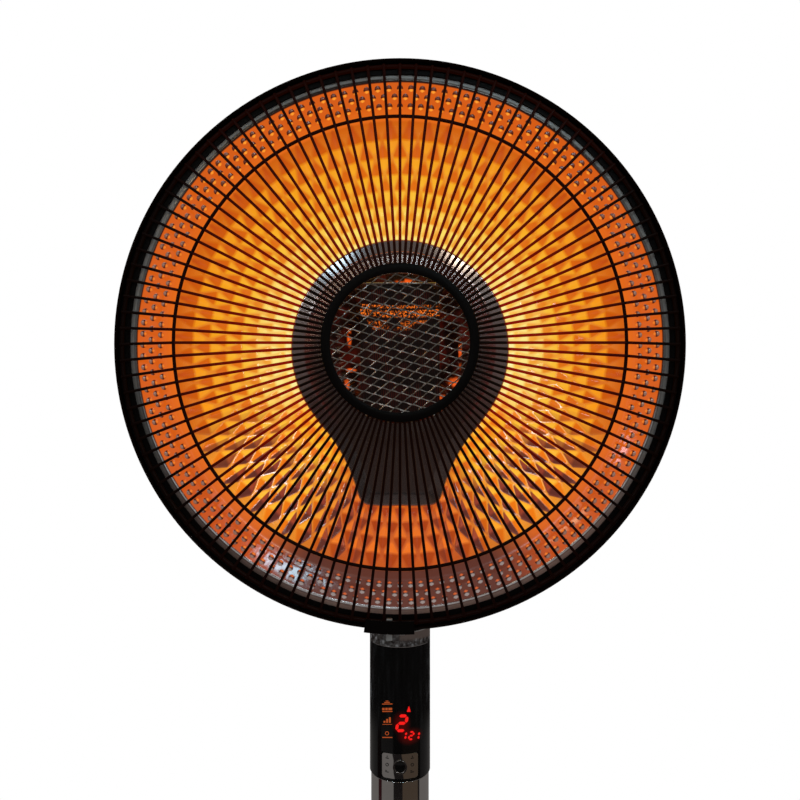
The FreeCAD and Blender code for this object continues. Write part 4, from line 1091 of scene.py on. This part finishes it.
def sleeve_mark(name, outlines, finish, lift=0.08, droop=0.0):
    # Flat marks on the sleeve, each an outline in millimetres across and up, drooping towards its sides
    marks = []
    for corners in outlines:
        start()
        bpy.ops.mesh.primitive_circle_add(vertices=len(corners), radius=0.01, fill_type="NGON")
        mark = bpy.context.object
        for vertex, (side, height) in zip(mark.data.vertices, corners):
            vertex.co = (side * MM, 0, height * MM)
        marks.append(mark)
    piece = joined(marks, name)
    with editing(piece):
        bpy.ops.mesh.quads_convert_to_tris()
        bpy.ops.mesh.subdivide(number_cuts=3)
    for vertex in piece.data.vertices:
        vertex.co = on_sleeve(vertex.co.x / MM, vertex.co.z / MM, lift, droop)
    with editing(piece):
        bpy.ops.mesh.normals_make_consistent(inside=False)
    faced_front(piece)
    return finished(piece, "column", "black_gloss_plastic", finish=finish)


# Seven-bar digits: the ends of each bar across and up, the bars of each digit and its slant
SEGMENTS = {
    "a": ((0, 2), (1, 2)), "b": ((1, 2), (1, 1)), "c": ((1, 1), (1, 0)), "d": ((0, 0), (1, 0)),
    "e": ((0, 1), (0, 0)), "f": ((0, 2), (0, 1)), "g": ((0, 1), (1, 1)),
}
DIGITS = {"1": "bc", "2": "abged"}
SLANT = 0.16
# The display is a flat board behind the sleeve, so its rows droop on the round front
DISPLAY_DROOP = 0.41


def digit(shape, left, bottom, width, height, stroke):
    # Outlines of the lit bars of one seven-bar digit
    outlines = []
    for letter in DIGITS[shape]:
        ends = [Vector((x * width, y * height / 2)) for x, y in SEGMENTS[letter]]
        along = (ends[1] - ends[0]).normalized()
        across = Vector((-along.y, along.x)) * stroke / 2
        first = ends[0] + along * stroke * 0.12
        last = ends[1] - along * stroke * 0.12
        tip = along * stroke / 2
        upper = [first + tip + across, last - tip + across]
        lower = [last - tip - across, first + tip - across]
        corners = [first] + upper + [last] + lower
        outlines.append([(left + c.x + c.y * SLANT, bottom + c.y) for c in corners])
    return outlines


def bar(left, bottom, right, top):
    # Outline of an upright or lying bar
    return [(left, bottom), (right, bottom), (right, top), (left, top)]


def ring_mark(side, height, radius, stroke, parts=12):
    # Outlines that make up a ring
    outlines = []
    for index in range(parts):
        corners = []
        for angle, reach in ((0, radius), (1, radius), (1, radius - stroke), (0, radius - stroke)):
            turn = FULL_TURN * (index + angle) / parts
            corners.append((side + reach * math.cos(turn), height + reach * math.sin(turn)))
        outlines.append(corners)
    return outlines


# Lit digits by figure, left, bottom, width, height and stroke, and the lit flame's corners
LARGE_DIGIT = ("2", -2.6, 347.4, 6.2, 10.8, 2.3)
SMALL_DIGITS = (
    ("1", 1.2, 341.0, 2.6, 5.4, 1.5), ("2", 6.4, 341.0, 3.0, 5.4, 1.4), ("1", 10.9, 341.0, 2.6, 5.4, 1.5),
)
FLAME = [(5.0, 361.2), (7.8, 361.2), (7.4, 363.2), (6.6, 365.6), (5.9, 363.9)]
# Bars of the amber icons by left, bottom, right and top, and their ring by its middle, radius and stroke
ICON_BARS = (
    (-13.2, 366.7, -5.6, 367.4), (-11.6, 367.9, -7.6, 368.6), (-10.6, 369.0, -8.6, 369.5),
    (-13.2, 361.2, -5.6, 361.9), (-13.2, 362.5, -11.4, 364.2), (-10.9, 362.5, -9.1, 364.2),
    (-8.6, 362.5, -5.8, 364.2), (-12.2, 353.2, -10.8, 354.6), (-10.2, 353.2, -8.8, 356.0),
    (-8.2, 353.2, -6.8, 357.2), (-13.0, 351.8, -6.0, 352.2), (-13.2, 342.0, -5.6, 342.7),
)
ICON_RING = (-9.6, 345.4, 1.5, 0.5)


def display():
    # Lit digits and icons on the sleeve's front
    red = glowing("red_display", screen_colour(255, 12, 4))
    amber = glowing("amber_print", screen_colour(172, 72, 18))
    small = []
    for figure in SMALL_DIGITS:
        small += digit(*figure)
    icons = [bar(*place) for place in ICON_BARS] + ring_mark(*ICON_RING)
    for name, outlines, finish in (
        ("large_digit", digit(*LARGE_DIGIT), red), ("small_digits", small, red),
        ("heat_icon", [FLAME], red), ("panel_icons", icons, amber),
    ):
        sleeve_mark(name, outlines, finish, droop=DISPLAY_DROOP)


def rounded_panel(left, bottom, right, top, corner):
    # Outline of a panel with rounded corners
    points = []
    for side, height, first in (
        (right - corner, top - corner, 0), (left + corner, top - corner, 90),
        (left + corner, bottom + corner, 180), (right - corner, bottom + corner, 270),
    ):
        for step in range(5):
            turn = math.radians(first + 22.5 * step)
            points.append((side + corner * math.cos(turn), height + corner * math.sin(turn)))
    return points


# The panel's inset and corners, and its etched icons beside the button: their places, bars and ring
PANEL_INSET = 0.2
PANEL_CORNER = 2.0
ETCHED_SIDES = (-9.6, 9.2)
ETCHED_BARS = (
    (-1.2, 5.6, 1.2, 6.0), (-0.2, 6.4, 0.2, 7.6), (-1.4, -4.6, 1.2, -4.2),
    (-1.4, -3.6, -0.2, -3.2),
)
ETCHED_RING = (1.2, 0.35, 10)


def button_panel():
    # Bright panel round the button, with small etched icons
    low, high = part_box("button_plate")
    lift = -low.y / MM - SLEEVE_RADIUS
    edge = high.x / MM - PANEL_INSET
    bottom = low.z / MM + PANEL_INSET
    top = high.z / MM - PANEL_INSET
    outline = rounded_panel(-edge, bottom, edge, top, PANEL_CORNER)
    panel = sleeve_mark("button_panel", [outline], finishes["chrome"], lift)
    modifier(panel, "SOLIDIFY", thickness=0.5 * MM, offset=-1.0)
    rounded(panel, 0.15, 2)
    smooth(panel, 40.0, True)
    finished(panel, "column", "chrome", "button_plate")
    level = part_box("push_button")
    middle = (level[0].z + level[1].z) / 2 / MM
    marks = []
    for side in ETCHED_SIDES:
        for left, bottom, right, top in ETCHED_BARS:
            marks.append(bar(side + left, middle + bottom, side + right, middle + top))
        marks += ring_mark(side, middle + 1.0, *ETCHED_RING)
    sleeve_mark("etched_icons", marks, finishes["black_matte_plastic"], lift + 0.05)


# Front of the button by shares of its radius and depth in metres, and where its bright rim ends
BUTTON_FRONT = ((1.0, 0.0003), (0.95, 0.0), (0.8, 0.0), (0.72, 0.0004), (0.3, 0.0006), (0.0, 0.0006))
RIM_SHARE = 0.75
RIM_DEPTH = 0.0005


def button():
    # Dished black button with a bright rim
    low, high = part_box("push_button")
    centre = (low + high) / 2
    radius = (high.x - low.x) / 2
    front = low.y
    back = high.y
    points = [Vector((0, back, centre.z)), Vector((radius, back, centre.z))]
    for share, sink in BUTTON_FRONT:
        points.append(Vector((radius * share, front + sink, centre.z)))
    piece = turned("round_button", points, 48, (0, 0, centre.z), (0, 1, 0))
    smooth(piece, 30.0)
    finished(piece, "button", "black_gloss_plastic", "push_button")
    rim = speckled("dark_chrome", (0.16, 0.14, 0.13), 0.22, 1.0, grain=1400.0, bump=0.01)
    piece.data.materials.append(rim)
    for polygon in piece.data.polygons:
        reach = math.hypot(polygon.center.x, polygon.center.z - centre.z)
        if polygon.center.y < front + RIM_DEPTH and reach > radius * RIM_SHARE:
            polygon.material_index = 1
    return piece


hoop()
dish()
hub_ring()
expanded_mesh()
shield()
gauze_screen()
display()
button_panel()
button()
# Other solids with rounded edges, by the width of the rounding
for node, width in (
    ("rim_clip_screw", 0.3), ("head_arm", 1.6), ("neck_fork", 1.2),
    ("tilt_bolt", 0.4), ("tilt_nut", 0.4), ("top_collar", 0.8),
    ("sleeve_foot_ring", 0.3), ("pole_tube", 0.3), ("pole_foot", 0.6), ("rear_cover", 0.7),
    ("rear_cover_screws", 0.5), ("base_cover", 1.2), ("rubber_feet", 0.8), ("cord_gland", 0.4),
    ("base_screws", 0.3), ("back_plate", 0.3), ("upper_lamp_holder", 0.6), ("lower_lamp_holder", 0.6),
    ("lead_terminal", 0.6), ("element_frame", 0.3),
):
    shaped_copy(node, width)
shaped_copy("rim_joint_block", 2.0, finish=finishes["black_enamel"])
shaped_copy("display_sleeve", 0.3, finish=sleeve_finish())
clip_zinc = speckled("zinc_clip", (0.42, 0.42, 0.41), 0.42, 0.7, grain=600.0, bump=0.1)
shaped_copy("rim_clip", 0.3, finish=clip_zinc)


# Floor, light and camera
CAMERA_PLACE = (0.0, -0.6123, 0.5909)
LAMP_DISTANCE = 1.6
# Lamps by their direction from the head, width and height in metres, power and colour
STUDIO_LAMPS = (
    ("left_window", (-0.39, -0.71, 0.585), (0.28, 0.30), 2.3, (0.58, 0.84, 1.0)),
    ("right_window", (0.37, -0.71, 0.60), (0.24, 0.26), 2.4, (1.0, 0.88, 0.70)),
    ("side_window", (-0.72, -0.56, 0.40), (0.14, 0.14), 0.8, (0.84, 0.93, 1.0)),
    ("streak_window", (0.20, -0.857, 0.474), (0.13, 0.20), 0.9, (0.48, 0.82, 1.0)),
    ("low_window", (-0.436, -0.857, 0.273), (0.10, 0.05), 0.16, (0.90, 0.86, 1.0)),
    ("cream_window", (-0.315, -0.857, 0.407), (0.06, 0.06), 0.10, (1.0, 0.84, 0.50)),
    ("edge_window", (0.076, -0.956, 0.282), (0.26, 0.06), 0.8, (0.72, 0.92, 1.0)),
    ("cream_edge", (-0.176, -0.956, 0.233), (0.26, 0.05), 0.3, (1.0, 0.88, 0.62)),
    ("left_strip", (-0.55, -0.72, 0.42), (0.9, 0.03), 0.15, (1.0, 0.90, 0.70)),
    ("right_strip", (0.55, -0.72, 0.42), (0.9, 0.03), 0.10, (0.84, 0.94, 1.0)),
    ("left_ceiling", (-0.62, -0.42, 0.66), (0.06, 0.60), 0.6, (0.86, 0.94, 1.0)),
    ("right_ceiling", (0.62, -0.42, 0.66), (0.06, 0.60), 2.0, (0.80, 0.92, 1.0)),
    ("rear_lamp", (0.30, 0.80, 0.62), (0.9, 0.9), 9.0, (1.0, 1.0, 1.0)),
)


def reflected_only(piece):
    # A piece of the studio that shows in bright surfaces alone
    piece.visible_camera = False
    piece.visible_diffuse = False
    piece.visible_shadow = False
    piece.visible_transmission = False


# Tones of the room, its radius in metres, and the tones of the clutter on its floor
ROOM_GREY = (0.17, 0.16, 0.155, 1)
ROOM_AHEAD = (0.056, 0.038, 0.033, 1)
ROOM_DARK = (0.012, 0.010, 0.010, 1)
ROOM_BROWN = (0.075, 0.055, 0.040, 1)
ROOM_RED = (0.030, 0.008, 0.010, 1)
ROOM_RADIUS = 2.8
ROOM_CLUTTER = (
    (0.40, (0.006, 0.005, 0.005, 1)), (0.5, (0.03, 0.027, 0.026, 1)),
    (0.58, (0.055, 0.048, 0.045, 1)), (0.70, (0.36, 0.39, 0.42, 1)),
)
# Upright bands on the floor ahead, by their first and last angle
ROOM_BANDS = (
    (-180, -93, ROOM_GREY), (-93, -76, ROOM_RED), (-76, -25, ROOM_GREY), (-25, 10, ROOM_DARK),
    (10, 74, ROOM_BROWN), (74, 82, ROOM_DARK), (82, 180, ROOM_GREY),
)


def room_finish(name, floor):
    # Dim room round the heater: dark straight ahead, with upright bands of grey and brown low down
    finish = Finish(name)
    away = finish.shifted(HEAD_CENTRE)
    ahead = finish.part_of(away, "Y") * -1.0 / finish.length(away)
    glow = finish.mix(finish.spread(ahead, 0.87, 0.95), ROOM_GREY, ROOM_AHEAD)
    if floor:
        turn = finish.node("ShaderNodeMath", {"operation": "ARCTAN2"}, {
            0: finish.part_of(away, "X"), 1: finish.part_of(away, "Y") * -1.0,
        })
        stops = []
        for first, last, colour in ROOM_BANDS:
            stops += [(first / 360 + 0.503, colour), (last / 360 + 0.497, colour)]
        near = finish.length(finish.shifted((0, 0, 0), (1, 1, 0)))
        bands = finish.ramp(turn / FULL_TURN + 0.5, stops)
        patches = finish.node("ShaderNodeCombineXYZ", None, {"X": turn * 3.0, "Y": near * 26.0})
        clutter = finish.ramp(finish.noise(1.0, 3.0, patches), ROOM_CLUTTER)
        tidy = finish.spread(near, 1.37, 1.40) * finish.spread(turn, -0.1, 0.1)
        clutter = finish.mix(tidy, clutter, (0.085, 0.066, 0.060, 1))
        glow = finish.mix(finish.spread(near, 0.80, 0.95), bands, clutter)
        glow = finish.mix(finish.spread(near, 0.575, 0.592), ROOM_GREY, glow)
    finish.node("ShaderNodeOutputMaterial", None, {"Surface": finish.light("ShaderNodeEmission", glow)})
    return finish.material


def dark_room():
    # Walls and floor that show in bright surfaces alone
    start()
    bpy.ops.mesh.primitive_uv_sphere_add(segments=48, ring_count=24, radius=ROOM_RADIUS)
    walls = named("room_walls")
    walls.data.materials.append(room_finish("room_walls", False))
    reflected_only(walls)
    start()
    bpy.ops.mesh.primitive_circle_add(
        vertices=64, radius=ROOM_RADIUS, fill_type="NGON", location=(0, 0, 0.001),
    )
    ground = named("room_floor")
    ground.data.materials.append(room_finish("room_floor", True))
    reflected_only(ground)


def white_floor():
    # Pale floor that fades to plain white away from the heater
    start()
    bpy.ops.mesh.primitive_plane_add(size=30.0, location=(0, 0, 0))
    floor = named("floor")
    finish = Finish("pale_floor")
    seen, passed = finish.shown_rays()
    reach = finish.length(finish.shifted((0, 0, 0), (1, 1, 0)))
    far = finish.spread(reach, 0.30, 0.56)
    white = (seen * (0.5 + far * 0.5) + passed).clamped()
    plain = finish.node("ShaderNodeBsdfDiffuse", None, {"Color": (0.86, 0.86, 0.86, 1)})
    glow = finish.light("ShaderNodeEmission", WHITE)
    mixed = finish.node("ShaderNodeMixShader", None, {0: white, 1: plain, 2: glow})
    finish.node("ShaderNodeOutputMaterial", None, {"Surface": mixed})
    floor.data.materials.append(finish.material)


def backdrop():
    # Plain white round about, which lights the heater softly
    world = bpy.data.worlds.new("studio")
    bpy.context.scene.world = world
    sky = Finish("studio", world)
    seen, passed = sky.shown_rays()
    white = (seen + passed).clamped()
    soft = sky.light("ShaderNodeBackground", WHITE, 0.38)
    plain = sky.light("ShaderNodeBackground", WHITE)
    mixed = sky.node("ShaderNodeMixShader", None, {0: white, 1: soft, 2: plain})
    sky.node("ShaderNodeOutputWorld", None, {"Surface": mixed})


def lamps():
    # Area lamps that face the head
    for name, towards, size, power, colour in STUDIO_LAMPS:
        place = HEAD_CENTRE + Vector(towards).normalized() * LAMP_DISTANCE
        start()
        bpy.ops.object.light_add(type="AREA", location=place)
        lamp = bpy.context.object
        lamp.name = name
        lamp.rotation_euler = (HEAD_CENTRE - place).to_track_quat("-Z", "Y").to_euler()
        lamp.data.shape = "RECTANGLE"
        lamp.data.size, lamp.data.size_y = size
        lamp.data.energy = power
        lamp.data.color = colour


def view():
    # Camera straight ahead, with plain colours
    start()
    bpy.ops.object.camera_add(location=CAMERA_PLACE, rotation=(math.pi / 2, 0, 0))
    camera = bpy.context.object
    camera.data.lens = 36.0
    camera.data.sensor_width = 36.0
    camera.data.clip_start = 0.01
    bpy.context.scene.camera = camera
    bpy.context.scene.view_settings.view_transform = "Standard"


white_floor()
backdrop()
dark_room()
lamps()
view()
start()
